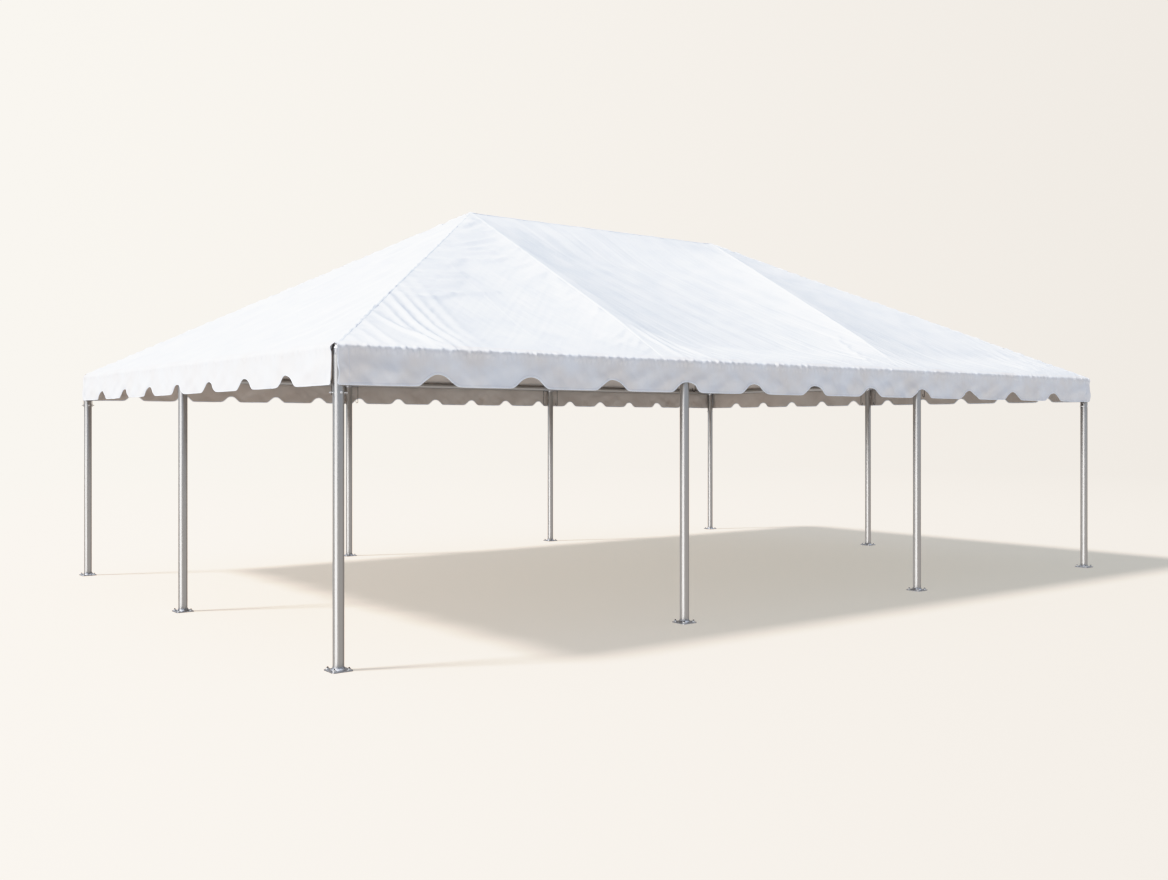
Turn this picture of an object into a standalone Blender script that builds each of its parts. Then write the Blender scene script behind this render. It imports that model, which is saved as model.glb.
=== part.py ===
"""A white marquee tent: a hip-roofed frame marquee of 30 ft by 20 ft.

Ten tubular legs stand on square base plates and carry an eave rail on each side. Hip, side
and end rafters rise from the eaves to two crown fittings, which a short ridge pole joins.
The top lies on that frame in four slopes, and a notched valance hangs from each eave.

Metres, +Z up. X runs along the long sides and Y from the front to the back. The origin is
on the ground under the middle of the ridge.
"""

import math

import bmesh
import bpy
from mathutils import Matrix, Vector

# The plan, on the centres of the legs
BAY = 3.048
HALF_LENGTH = 1.5 * BAY
HALF_WIDTH = BAY
HALF_BAY = BAY / 2

# The top's outer surface
EAVE_HEIGHT = 2.130
RIDGE_HEIGHT = 3.757
HALF_RIDGE = 1.675
OVERHANG = 0.0465
ROOF_THICKNESS = 0.008
VALANCE_THICKNESS = 0.006
VALANCE_DROP = 0.262

# The tubes and the fittings between them
LEG_RADIUS = 0.0381
RAIL_RADIUS = 0.030
LEG_STUB_RADIUS = 0.0361
STUB_RADIUS = 0.0285
KNUCKLE_RADIUS = 0.0298
STUB_LENGTH = 0.150
LEG_STUB_FOOT = 2.066
LEG_STUB_BELOW_RAIL = 0.012
TUBE_SIDES = 16
KNUCKLE_RINGS = 8

# The base plates
PLATE_SIDE = 0.150
PLATE_THICKNESS = 0.008
PLATE_CORNER = 0.018
PLATE_CORNER_STEPS = 3
COLLAR_FOOT_RADIUS = 0.050
COLLAR_TOP_RADIUS = 0.0400
COLLAR_HEIGHT = 0.016
COLLAR_SUNK = 0.003

# The notches in the valances' lower edges: on the front and left sides few wide ones, on the back
# and right sides many narrow ones
FRONT_NOTCHES = 11
LEFT_NOTCHES = 7
BACK_NOTCHES = 16
RIGHT_NOTCHES = 10
# The depth, the radius of the crown and the slope of the flanks
WIDE_NOTCH = (0.085, 0.130, math.radians(40))
NARROW_NOTCH = (0.064, 0.075, math.radians(45))
NOTCH_CROWN_STEPS = 5
NOTCH_SHOULDER = 0.010
LONG_VALANCE_SETBACK = 0.018
SHORT_VALANCE_SETBACK = 0.050

# The gap that pieces in contact keep
GAP = 0.0003

# What follows from those sizes
OUT_X = HALF_LENGTH + OVERHANG
OUT_Y = HALF_WIDTH + OVERHANG
RISE = RIDGE_HEIGHT - EAVE_HEIGHT
HIP_RUN = OUT_X - HALF_RIDGE
SIDE_SLOPE = math.atan2(RISE, OUT_Y)
END_SLOPE = math.atan2(RISE, HIP_RUN)
TUBE_DEPTH = RAIL_RADIUS + ROOF_THICKNESS + 2 * GAP
RAIL_HEIGHT = min(
    EAVE_HEIGHT + OVERHANG * math.tan(slope) - TUBE_DEPTH / math.cos(slope)
    for slope in (SIDE_SLOPE, END_SLOPE)
)
CROWN_HEIGHT = RIDGE_HEIGHT - TUBE_DEPTH / math.cos(max(SIDE_SLOPE, END_SLOPE))
LEG_FOOT = PLATE_THICKNESS + COLLAR_HEIGHT

SIDES = {"left": -1, "right": 1}
FACES = {"front": -1, "back": 1}


def clear_scene():
    for obj in list(bpy.data.objects):
        bpy.data.objects.remove(obj, do_unlink=True)


def add_collection(name):
    collection = bpy.data.collections.new(name)
    bpy.context.scene.collection.children.link(collection)
    return collection


def make_material(name, colour, roughness, metallic):
    material = bpy.data.materials.new(name)
    material.use_nodes = True
    shader = material.node_tree.nodes["Principled BSDF"]
    shader.inputs["Base Color"].default_value = (*colour, 1.0)
    shader.inputs["Roughness"].default_value = roughness
    shader.inputs["Metallic"].default_value = metallic
    return material


def add_object(name, data, material):
    obj = bpy.data.objects.new(name, data)
    obj.data.materials.append(material)
    tent.objects.link(obj)
    return obj


def as_mesh(name, bm):
    bmesh.ops.recalc_face_normals(bm, faces=bm.faces)
    mesh = bpy.data.meshes.new(name)
    bm.to_mesh(mesh)
    bm.free()
    return mesh


def shade_round(mesh):
    mesh.shade_smooth()
    mesh.set_sharp_from_angle(angle=math.radians(40))


def rod_mesh(name, length, radius):
    """A round bar along Z, centred on its origin."""
    bm = bmesh.new()
    bmesh.ops.create_cone(
        bm, cap_ends=True, segments=TUBE_SIDES, radius1=radius, radius2=radius, depth=length
    )
    mesh = as_mesh(name, bm)
    shade_round(mesh)
    return mesh


def place_between(obj, start, end):
    obj.location = (start + end) / 2
    obj.rotation_mode = "QUATERNION"
    obj.rotation_quaternion = (end - start).to_track_quat("Z", "Y")


def add_rod(name, start, end, radius, material):
    rod = add_object(name, rod_mesh(name, (end - start).length, radius), material)
    place_between(rod, start, end)
    return rod


def add_tube(name, start, end, radius, material):
    """A tube whose ends keep the contact gap to the fittings at start and end."""
    step = (end - start).normalized() * GAP
    return add_rod(name, start + step, end - step, radius, material)


def toward(start, end, distance):
    return start + (end - start).normalized() * distance


def weld(obj, helper):
    """Joins a helper solid to a piece. The helper itself is not a piece."""
    tent.objects.unlink(helper)
    helpers.objects.link(helper)
    helper.hide_render = True
    helper.display_type = "WIRE"
    union = obj.modifiers.new("weld " + helper.name, "BOOLEAN")
    union.operation = "UNION"
    union.solver = "EXACT"
    union.object = helper


def weld_stub(obj, node, target, radius, start_offset=0.0, length=STUB_LENGTH):
    """Welds a stub to a fitting at node, pointing to target."""
    name = f"{obj.name} stub {len(obj.modifiers) + 1}"
    start = toward(node, target, start_offset)
    weld(obj, add_rod(name, start, toward(node, target, length), radius, galvanised))


def weld_leg_stub(obj, node):
    top = Vector((node.x, node.y, RAIL_HEIGHT - LEG_STUB_BELOW_RAIL))
    foot = Vector((node.x, node.y, LEG_STUB_FOOT))
    name = f"{obj.name} leg stub {len(obj.modifiers) + 1}"
    weld(obj, add_rod(name, foot, top, LEG_STUB_RADIUS, galvanised))


# The points where the axes of the tubes meet
def corner_node(side, face):
    return Vector((side * HALF_LENGTH, face * HALF_WIDTH, RAIL_HEIGHT))


def side_node(side, face):
    return Vector((side * HALF_BAY, face * HALF_WIDTH, RAIL_HEIGHT))


def end_node(side):
    return Vector((side * HALF_LENGTH, 0.0, RAIL_HEIGHT))


def crown_node(side):
    return Vector((side * HALF_RIDGE, 0.0, CROWN_HEIGHT))


# Legs and base plates
def leg_places():
    """The name and the plan position of each leg."""
    places = {}
    for face_name, face in FACES.items():
        for side_name, side in SIDES.items():
            places[f"{face_name}_{side_name}_corner"] = corner_node(side, face)
            places[f"{face_name}_{side_name}_middle"] = side_node(side, face)
    for side_name, side in SIDES.items():
        places[f"{side_name}_end"] = end_node(side)
    return places


def base_plate_mesh():
    """A square plate with round corners."""
    bm = bmesh.new()
    bmesh.ops.create_cube(bm, size=1.0)
    bmesh.ops.scale(bm, verts=bm.verts, vec=(PLATE_SIDE, PLATE_SIDE, PLATE_THICKNESS))
    bmesh.ops.translate(bm, verts=bm.verts, vec=(0.0, 0.0, PLATE_THICKNESS / 2))
    upright = [e for e in bm.edges if abs(e.verts[0].co.z - e.verts[1].co.z) > PLATE_THICKNESS / 2]
    bmesh.ops.bevel(
        bm, geom=upright, offset=PLATE_CORNER, segments=PLATE_CORNER_STEPS, profile=0.5, affect="EDGES"
    )
    return as_mesh("base plate", bm)


def collar_mesh():
    """The welded collar that flares from the leg to the plate."""
    bm = bmesh.new()
    height = COLLAR_HEIGHT + COLLAR_SUNK
    bmesh.ops.create_cone(
        bm,
        cap_ends=True,
        segments=TUBE_SIDES,
        radius1=COLLAR_FOOT_RADIUS,
        radius2=COLLAR_TOP_RADIUS,
        depth=height,
    )
    bmesh.ops.translate(bm, verts=bm.verts, vec=(0.0, 0.0, PLATE_THICKNESS - COLLAR_SUNK + height / 2))
    return as_mesh("collar", bm)


def add_leg(place, node):
    foot = Vector((node.x, node.y, LEG_FOOT))
    head = Vector((node.x, node.y, LEG_STUB_FOOT))
    add_tube("leg_" + place, foot, head, LEG_RADIUS, aluminium)


def add_base_plate(place, node):
    plate = add_object("base_plate_" + place, base_plate_mesh(), galvanised)
    plate.location = (node.x, node.y, 0.0)
    collar = add_object(f"collar {place}", collar_mesh(), galvanised)
    collar.location = (node.x, node.y, 0.0)
    weld(plate, collar)


# Fittings
def add_knuckle(name, node):
    """The ball in which the stubs of a fitting meet."""
    bm = bmesh.new()
    bmesh.ops.create_uvsphere(bm, u_segments=TUBE_SIDES, v_segments=KNUCKLE_RINGS, radius=KNUCKLE_RADIUS)
    mesh = as_mesh(name, bm)
    shade_round(mesh)
    knuckle = add_object(name, mesh, galvanised)
    knuckle.location = node
    return knuckle


def add_corner_fitting(name, side, face):
    node = corner_node(side, face)
    fitting = add_knuckle(name, node)
    weld_leg_stub(fitting, node)
    weld_stub(fitting, node, side_node(side, face), STUB_RADIUS)
    weld_stub(fitting, node, end_node(side), STUB_RADIUS)
    weld_stub(fitting, node, crown_node(side), STUB_RADIUS)


def add_crown_fitting(name, side):
    node = crown_node(side)
    fitting = add_knuckle(name, node)
    weld_stub(fitting, node, crown_node(-side), STUB_RADIUS)
    weld_stub(fitting, node, end_node(side), STUB_RADIUS)
    for face in FACES.values():
        weld_stub(fitting, node, side_node(side, face), STUB_RADIUS)
        weld_stub(fitting, node, corner_node(side, face), STUB_RADIUS)


# Eave rails, each with the stubs for the legs and rafters between its corners
def add_long_rail(name, face):
    left = corner_node(-1, face)
    right = corner_node(1, face)
    rail = add_tube(
        name, toward(left, right, STUB_LENGTH), toward(right, left, STUB_LENGTH), RAIL_RADIUS, aluminium
    )
    for side in SIDES.values():
        weld_leg_stub(rail, side_node(side, face))
        weld_stub(rail, side_node(side, face), crown_node(side), STUB_RADIUS)


def add_short_rail(name, side):
    front = corner_node(side, -1)
    back = corner_node(side, 1)
    rail = add_tube(
        name, toward(front, back, STUB_LENGTH), toward(back, front, STUB_LENGTH), RAIL_RADIUS, aluminium
    )
    weld_leg_stub(rail, end_node(side))
    weld_stub(rail, end_node(side), crown_node(side), STUB_RADIUS)


# Rafters and the ridge pole
def add_rafter(name, low, high):
    add_tube(name, toward(low, high, STUB_LENGTH), toward(high, low, STUB_LENGTH), RAIL_RADIUS, aluminium)


# The slopes of the top
def hip_cut(side, face):
    """The upright plane through a hip, as a point and the normal towards the end slope."""
    normal = Vector((side * OUT_Y, -face * HIP_RUN, 0.0)).normalized()
    return Vector((side * HALF_RIDGE, 0.0, 0.0)), normal


def slab(centre, turn, reach):
    """A square slab of the top's thickness, whose upper face lies in a slope."""
    bm = bmesh.new()
    bmesh.ops.create_cube(bm, size=1.0)
    bmesh.ops.scale(bm, verts=bm.verts, vec=(reach, reach, ROOF_THICKNESS))
    bmesh.ops.translate(bm, verts=bm.verts, vec=(0.0, 0.0, -ROOF_THICKNESS / 2))
    bmesh.ops.transform(bm, matrix=Matrix.Translation(centre) @ turn, verts=bm.verts)
    return bm


def trim(bm, point, normal):
    """Cuts off what lies beyond a plane and closes the cut."""
    geometry = bm.verts[:] + bm.edges[:] + bm.faces[:]
    cut = bmesh.ops.bisect_plane(
        bm, geom=geometry, dist=GAP / 100, plane_co=point, plane_no=normal, clear_outer=True
    )
    edges = [e for e in cut["geom_cut"] if isinstance(e, bmesh.types.BMEdge)]
    bmesh.ops.contextual_create(bm, geom=edges)


def add_slope(name, centre, turn, cuts):
    bm = slab(centre, turn, 2 * (OUT_X + OUT_Y))
    for point, normal in cuts:
        trim(bm, point - normal * GAP / 2, normal)
    add_object(name, as_mesh(name, bm), vinyl)


def add_side_slope(name, face):
    """The slope over a long side, from the ridge to the eave."""
    centre = Vector((0.0, face * OUT_Y, EAVE_HEIGHT))
    turn = Matrix.Rotation(-face * SIDE_SLOPE, 4, "X")
    cuts = [(Vector(), Vector((0.0, -face, 0.0)))]
    cuts.append((Vector((0.0, face * (OUT_Y + GAP / 2), 0.0)), Vector((0.0, face, 0.0))))
    for side in SIDES.values():
        cuts.append(hip_cut(side, face))
    add_slope(name, centre, turn, cuts)


def add_end_slope(name, side):
    """The slope over a short end, from the crown to the eave."""
    centre = Vector((side * OUT_X, 0.0, EAVE_HEIGHT))
    turn = Matrix.Rotation(side * END_SLOPE, 4, "Y")
    cuts = [(Vector((side * (OUT_X + GAP / 2), 0.0, 0.0)), Vector((side, 0.0, 0.0)))]
    for face in FACES.values():
        point, normal = hip_cut(side, face)
        cuts.append((point, -normal))
    add_slope(name, centre, turn, cuts)


# The valances
def notch_points(middle, notch):
    """One notch from left to right: a round crown between flanks that flare to the edge."""
    depth, crown_radius, flank = notch
    points = []
    crown_centre = depth - crown_radius
    for step in range(NOTCH_CROWN_STEPS + 1):
        angle = flank * (2 * step / NOTCH_CROWN_STEPS - 1)
        across = crown_radius * math.sin(angle)
        points.append((middle + across, crown_centre + crown_radius * math.cos(angle)))
    flank_run = points[-1][1] / math.tan(flank)
    flank_foot = points[-1][0] - middle + flank_run
    outer = flank_foot + NOTCH_SHOULDER
    inner = flank_foot - NOTCH_SHOULDER
    left = [(middle - outer, 0.0), (middle - inner, NOTCH_SHOULDER)]
    right = [(middle + inner, NOTCH_SHOULDER), (middle + outer, 0.0)]
    return left + points + right


def valance_outline(half_side, setback, notch, notches, height):
    pitch = 2 * half_side / (notches + 1)
    end = half_side - setback
    points = [(-end, height), (-end, 0.0)]
    for number in range(1, notches + 1):
        points += notch_points(-half_side + number * pitch, notch)
    return points + [(end, 0.0), (end, height)]


def add_valance(name, outline, location, turn):
    curve = bpy.data.curves.new(name, "CURVE")
    curve.dimensions = "2D"
    curve.fill_mode = "BOTH"
    curve.extrude = VALANCE_THICKNESS / 2
    spline = curve.splines.new("POLY")
    spline.points.add(len(outline) - 1)
    for point, (across, up) in zip(spline.points, outline):
        point.co = (across, up, 0.0, 1.0)
    spline.use_cyclic_u = True
    valance = add_object(name, curve, vinyl)
    valance.location = location
    valance.rotation_euler = (math.pi / 2, 0.0, turn)


def add_long_valance(name, face, notch, notches):
    top = EAVE_HEIGHT - ROOF_THICKNESS / math.cos(SIDE_SLOPE) - GAP
    foot = EAVE_HEIGHT - VALANCE_DROP
    outline = valance_outline(OUT_X, LONG_VALANCE_SETBACK, notch, notches, top - foot)
    add_valance(name, outline, (0.0, face * (OUT_Y - VALANCE_THICKNESS / 2), foot), 0.0)


def add_short_valance(name, side, notch, notches):
    top = EAVE_HEIGHT - ROOF_THICKNESS / math.cos(END_SLOPE) - GAP
    foot = EAVE_HEIGHT - VALANCE_DROP
    outline = valance_outline(OUT_Y, SHORT_VALANCE_SETBACK, notch, notches, top - foot)
    add_valance(name, outline, (side * (OUT_X - VALANCE_THICKNESS / 2), 0.0, foot), math.pi / 2)


clear_scene()
tent = add_collection("marquee tent")
helpers = add_collection("welded stubs")
vinyl = make_material("white vinyl", (0.86, 0.88, 0.92), 0.40, 0.0)
aluminium = make_material("aluminium tube", (0.52, 0.53, 0.55), 0.35, 1.0)
galvanised = make_material("galvanised fitting", (0.45, 0.46, 0.48), 0.45, 1.0)

for leg_place, leg_node in leg_places().items():
    add_base_plate(leg_place, leg_node)
    add_leg(leg_place, leg_node)

for face_name, face in FACES.items():
    add_long_rail(f"{face_name}_eave_rail", face)
for side_name, side in SIDES.items():
    add_short_rail(f"{side_name}_eave_rail", side)

for side_name, side in SIDES.items():
    add_crown_fitting(f"crown_fitting_{side_name}", side)
    add_rafter(f"end_rafter_{side_name}", end_node(side), crown_node(side))
    for face_name, face in FACES.items():
        add_corner_fitting(f"corner_fitting_{face_name}_{side_name}", side, face)
        add_rafter(f"hip_rafter_{face_name}_{side_name}", corner_node(side, face), crown_node(side))
        add_rafter(f"side_rafter_{face_name}_{side_name}", side_node(side, face), crown_node(side))
add_rafter("ridge_pole", crown_node(-1), crown_node(1))

for face_name, face in FACES.items():
    add_side_slope(f"{face_name}_roof_panel", face)
for side_name, side in SIDES.items():
    add_end_slope(f"{side_name}_roof_panel", side)

add_long_valance("front_valance", FACES["front"], WIDE_NOTCH, FRONT_NOTCHES)
add_long_valance("back_valance", FACES["back"], NARROW_NOTCH, BACK_NOTCHES)
add_short_valance("left_valance", SIDES["left"], WIDE_NOTCH, LEFT_NOTCHES)
add_short_valance("right_valance", SIDES["right"], NARROW_NOTCH, RIGHT_NOTCHES)
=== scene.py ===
"""The looks of a white frame marquee, 30 ft by 20 ft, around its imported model.

Aluminium tubes and galvanised fittings carry a hip top of white coated cloth, and a notched
valance hangs from each eave. Metres, +Z up, X along the long sides, Y from front to back.
"""

import math

import bmesh
import bpy
import numpy as np
from mathutils import Matrix, Vector


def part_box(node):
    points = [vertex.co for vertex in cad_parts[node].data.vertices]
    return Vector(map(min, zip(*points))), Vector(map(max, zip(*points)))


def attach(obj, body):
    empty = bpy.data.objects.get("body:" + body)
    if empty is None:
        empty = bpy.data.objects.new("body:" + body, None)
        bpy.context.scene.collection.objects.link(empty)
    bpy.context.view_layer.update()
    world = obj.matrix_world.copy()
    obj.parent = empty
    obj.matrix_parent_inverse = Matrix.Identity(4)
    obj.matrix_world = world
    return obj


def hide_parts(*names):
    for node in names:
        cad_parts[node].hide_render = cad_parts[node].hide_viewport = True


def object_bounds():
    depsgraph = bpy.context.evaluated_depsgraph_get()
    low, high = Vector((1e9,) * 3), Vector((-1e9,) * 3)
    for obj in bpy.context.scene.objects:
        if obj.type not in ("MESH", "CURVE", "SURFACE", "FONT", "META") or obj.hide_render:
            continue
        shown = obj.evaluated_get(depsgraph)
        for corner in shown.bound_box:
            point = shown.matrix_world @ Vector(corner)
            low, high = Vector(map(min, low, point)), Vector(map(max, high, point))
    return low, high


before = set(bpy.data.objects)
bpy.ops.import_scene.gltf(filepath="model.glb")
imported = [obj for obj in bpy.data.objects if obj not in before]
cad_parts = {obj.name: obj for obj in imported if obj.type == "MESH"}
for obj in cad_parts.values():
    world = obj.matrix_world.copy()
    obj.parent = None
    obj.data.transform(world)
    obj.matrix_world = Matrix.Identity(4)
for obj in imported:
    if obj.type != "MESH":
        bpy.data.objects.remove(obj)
cad_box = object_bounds()

# Base plates
# Under each leg lies a square of hot-dip galvanised plate with round corners, welded to the leg
# by a smooth fillet. A stud with a washer and a zinc-plated nut goes through each corner.
PLATE_THICKNESS = 0.008
PLATE_CORNER = 0.018
EDGE_EASE = 0.0012
# Radius and height above the plate of the rings of the weld
WELD_RINGS = [(0.0530, 0.0015), (0.0480, 0.004), (0.0437, 0.009), (0.0408, 0.015), (0.0393, 0.021)]
STUD_SPACING = 0.104
STUD_RADIUS = 0.0055
STUD_HEIGHT = 0.0165
NUT_RADIUS = 0.0128
NUT_HEIGHT = 0.009
WASHER_RADIUS = 0.0145
WASHER_HEIGHT = 0.0022
HEXAGON = 6
# The size of a zinc crystal, and how many clouds and worn spots there are in a metre
SPANGLE = 0.009
ZINC_CLOUDS = 35.0
ZINC_WEAR = 160.0
OXIDE_WEAR = 90.0

PLACES = sorted(name.removeprefix("leg_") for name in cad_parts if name.startswith("leg_"))


def linear(code):
    """An sRGB hex colour as linear values."""
    values = [int(code[start:start + 2], 16) / 255 for start in (0, 2, 4)]
    return (*(v / 12.92 if v <= 0.04045 else ((v + 0.055) / 1.055) ** 2.4 for v in values), 1.0)


def add_node(tree, kind, inputs=None, **settings):
    """Adds a node with its settings. An input is a value, or another node's output to link."""
    node = tree.nodes.new(kind)
    for name, value in settings.items():
        setattr(node, name, value)
    for name, value in (inputs or {}).items():
        if isinstance(value, bpy.types.NodeSocket):
            tree.links.new(value, node.inputs[name])
        else:
            node.inputs[name].default_value = value
    return node


def start_material(name, metallic, roughness):
    material = bpy.data.materials.new(name)
    material.use_nodes = True
    shader = material.node_tree.nodes["Principled BSDF"]
    shader.inputs["Metallic"].default_value = metallic
    shader.inputs["Roughness"].default_value = roughness
    return material, material.node_tree, shader


def two_tones(tree, shader, factor, first, second):
    """Colours the surface between two hex colours."""
    tones = {0: factor, 6: linear(first), 7: linear(second)}
    tones = add_node(tree, "ShaderNodeMix", tones, data_type="RGBA")
    tree.links.new(tones.outputs[2], shader.inputs["Base Color"])


def uneven_shine(tree, shader, patches, smoothest, roughest):
    """Makes the surface smoother and rougher in patches."""
    rough = {"Value": patches.outputs["Fac"], "From Min": 0.3, "From Max": 0.7}
    rough = add_node(tree, "ShaderNodeMapRange", rough | {"To Min": smoothest, "To Max": roughest})
    tree.links.new(rough.outputs["Result"], shader.inputs["Roughness"])


def emboss(tree, shader, pattern, depth, strength=1.0):
    """Gives the surface the fine relief of a pattern."""
    relief = {"Height": pattern.outputs["Fac"], "Distance": depth, "Strength": strength}
    relief = add_node(tree, "ShaderNodeBump", relief)
    tree.links.new(relief.outputs["Normal"], shader.inputs["Normal"])


def make_galvanised():
    """Hot-dip galvanised steel: dull grey, with crystals of zinc some 9 mm across."""
    material, tree, shader = start_material("galvanised steel", 1.0, 0.42)
    place = add_node(tree, "ShaderNodeTexCoord").outputs["Object"]
    crystals = add_node(tree, "ShaderNodeTexVoronoi", {"Vector": place, "Scale": 1 / SPANGLE})
    cloud = add_node(tree, "ShaderNodeTexNoise", {"Vector": place, "Scale": ZINC_CLOUDS, "Detail": 3.0})
    two_tones(tree, shader, crystals.outputs["Color"], "939395", "b0b0b2")
    uneven_shine(tree, shader, cloud, 0.34, 0.52)
    emboss(tree, shader, cloud, 0.0006)
    return material


def make_zinc():
    """Bright zinc plate on nuts and bolts: nearly a mirror, in a pale neutral grey."""
    material, tree, shader = start_material("bright zinc plate", 1.0, 0.24)
    place = add_node(tree, "ShaderNodeTexCoord").outputs["Object"]
    wear = add_node(tree, "ShaderNodeTexNoise", {"Vector": place, "Scale": ZINC_WEAR, "Detail": 2.0})
    two_tones(tree, shader, wear.outputs["Fac"], "cfcfce", "f0f0ef")
    uneven_shine(tree, shader, wear, 0.18, 0.32)
    return material


def make_black_steel():
    """Steel with a black oxide finish, as on the studs, straps and hooks: dark with a dull shine."""
    material, tree, shader = start_material("black oxide steel", 0.6, 0.45)
    place = add_node(tree, "ShaderNodeTexCoord").outputs["Object"]
    wear = add_node(tree, "ShaderNodeTexNoise", {"Vector": place, "Scale": OXIDE_WEAR, "Detail": 4.0})
    two_tones(tree, shader, wear.outputs["Fac"], "2a2625", "4a4340")
    emboss(tree, shader, wear, 0.0003)
    return material


galvanised = make_galvanised()
zinc = make_zinc()
black_steel = make_black_steel()


def centre_of(node):
    low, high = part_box(node)
    return (low + high) / 2


def deselect():
    bpy.ops.object.select_all(action="DESELECT")


def pick(piece):
    """Selects one piece alone."""
    deselect()
    piece.select_set(True)
    bpy.context.view_layer.objects.active = piece


def settle(piece):
    """Puts a piece's place, turn and size into its mesh."""
    pick(piece)
    bpy.ops.object.transform_apply(location=True, rotation=True, scale=True)


def shape(piece, kind, wanted, operation, **settings):
    """Selects the faces or edges that pass a test and works on them in edit mode."""
    pick(piece)
    bpy.ops.object.mode_set(mode="EDIT")
    bpy.ops.mesh.select_mode(type=kind)
    bpy.ops.mesh.select_all(action="DESELECT")
    bm = bmesh.from_edit_mesh(piece.data)
    for part in bm.faces if kind == "FACE" else bm.edges:
        part.select_set(wanted(part))
    bm.select_flush_mode()
    bmesh.update_edit_mesh(piece.data)
    operation(**settings)
    bpy.ops.object.mode_set(mode="OBJECT")


def is_sharp(edge):
    return edge.calc_face_angle(0.0) > math.radians(50)


def is_upright(edge):
    along = edge.verts[1].co - edge.verts[0].co
    return abs(along.z) > 0.9 * along.length


def is_top(face):
    return face.normal.z > 0.9


def is_cap(face):
    return abs(face.normal.z) > 0.9


def ease(piece, width, steps=2):
    """Takes the sharp edges off a piece."""
    shape(piece, "EDGE", is_sharp, bpy.ops.mesh.bevel, offset=width, segments=steps)


def smooth(piece, angle=35):
    """Shades a piece smoothly over edges that turn by less than an angle in degrees."""
    pick(piece)
    bpy.ops.object.shade_smooth_by_angle(angle=math.radians(angle))


def finish_piece(piece, name):
    """Names a piece and lets it ride on the tent."""
    piece.name = name
    piece.data.name = name
    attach(piece, "root")
    return piece


def add_round(radius, foot, height, sides=32, easing=0.0008):
    """A disc, nut or bar that stands at foot, with its sharp edges taken off."""
    deselect()
    middle = Vector(foot) + Vector((0.0, 0.0, height / 2))
    bpy.ops.mesh.primitive_cylinder_add(vertices=sides, radius=radius, depth=height, location=middle)
    turned = bpy.context.object
    settle(turned)
    ease(turned, easing)
    return turned


def joined(pieces):
    deselect()
    for piece in pieces:
        piece.select_set(True)
    bpy.context.view_layer.objects.active = pieces[0]
    bpy.ops.object.join()
    return bpy.context.object


def painted(piece, material):
    """Gives all of a piece one finish."""
    piece.data.materials.clear()
    piece.data.materials.append(material)
    return piece


def copied(piece, matrix):
    """A copy of a piece, with its own mesh, moved there."""
    clone = piece.copy()
    clone.data = piece.data.copy()
    clone.data.transform(matrix)
    bpy.context.scene.collection.objects.link(clone)
    return clone


def add_plate():
    low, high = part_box("base_plate_" + PLACES[0])
    side = high.x - low.x
    deselect()
    bpy.ops.mesh.primitive_cube_add(size=1.0, location=(0.0, 0.0, PLATE_THICKNESS / 2))
    plate = bpy.context.object
    plate.scale = (side, side, PLATE_THICKNESS)
    settle(plate)
    shape(plate, "EDGE", is_upright, bpy.ops.mesh.bevel, offset=PLATE_CORNER, segments=6)
    ease(plate, EDGE_EASE)
    return painted(plate, galvanised)


def add_weld():
    """The fillet round the foot of the leg, drawn up ring by ring."""
    first_radius, first_height = WELD_RINGS[0]
    weld = add_round(first_radius, (0.0, 0.0, PLATE_THICKNESS), first_height, 48, 0.0004)
    for (radius, height), (next_radius, next_height) in zip(WELD_RINGS, WELD_RINGS[1:]):
        rise = {"value": (0.0, 0.0, next_height - height)}
        shrink = next_radius / radius
        shape(weld, "FACE", is_top, bpy.ops.mesh.extrude_region_move, TRANSFORM_OT_translate=rise)
        shape(weld, "FACE", is_top, bpy.ops.transform.resize, value=(shrink, shrink, 1.0))
    return painted(weld, galvanised)


def add_stud(across, along):
    """A stud through a corner of the plate, with its washer and nut."""
    nut_foot = PLATE_THICKNESS + WASHER_HEIGHT
    washer = add_round(WASHER_RADIUS, (across, along, PLATE_THICKNESS), WASHER_HEIGHT, easing=0.0005)
    nut = add_round(NUT_RADIUS, (across, along, nut_foot), NUT_HEIGHT, HEXAGON, 0.0018)
    stud = add_round(STUD_RADIUS, (across, along, nut_foot), STUD_HEIGHT, 24, 0.0015)
    return [painted(washer, zinc), painted(nut, zinc), painted(stud, black_steel)]


parts = [add_plate(), add_weld()]
for across in (-STUD_SPACING / 2, STUD_SPACING / 2):
    for along in (-STUD_SPACING / 2, STUD_SPACING / 2):
        parts += add_stud(across, along)
first_plate = joined(parts)
smooth(first_plate)
for place in PLACES:
    at = centre_of("base_plate_" + place)
    plate = copied(first_plate, Matrix.Translation((at.x, at.y, 0.0)))
    finish_piece(plate, "welded_foot_" + place)
    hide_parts("base_plate_" + place)
bpy.data.objects.remove(first_plate)

# Legs
# Ten drawn aluminium tubes in mill finish, 76 mm across, which slip over the sockets of the
# fittings. Through bolts pin each one near its head: one, or two that cross at a corner.
TUBE_WALL = 0.0032
TUBE_MOUTH = 0.03
LEG_FOOT = 0.012
TUBE_SIDES = 56
# How many lines and stains there are round a tube, and along it
DRAWN_LINES = (70.0, 3.0, 1.0)
STAINS = (3.0, 14.0, 1.0)
BOLT_RADIUS = 0.0052
BOLT_HEAD = 0.0095
BOLT_HEAD_HEIGHT = 0.007
BOLT_HEAD_GAP = 0.0002
BOLT_PROUD = BOLT_HEAD_HEIGHT + 0.001
CORNER_BOLT_HEIGHT = 1.818
CORNER_BOLT_PROUD = 0.026
MIDDLE_BOLT_HEIGHT = 1.985
MIDDLE_BOLT_PROUD = BOLT_HEAD_HEIGHT + 0.003


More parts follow.
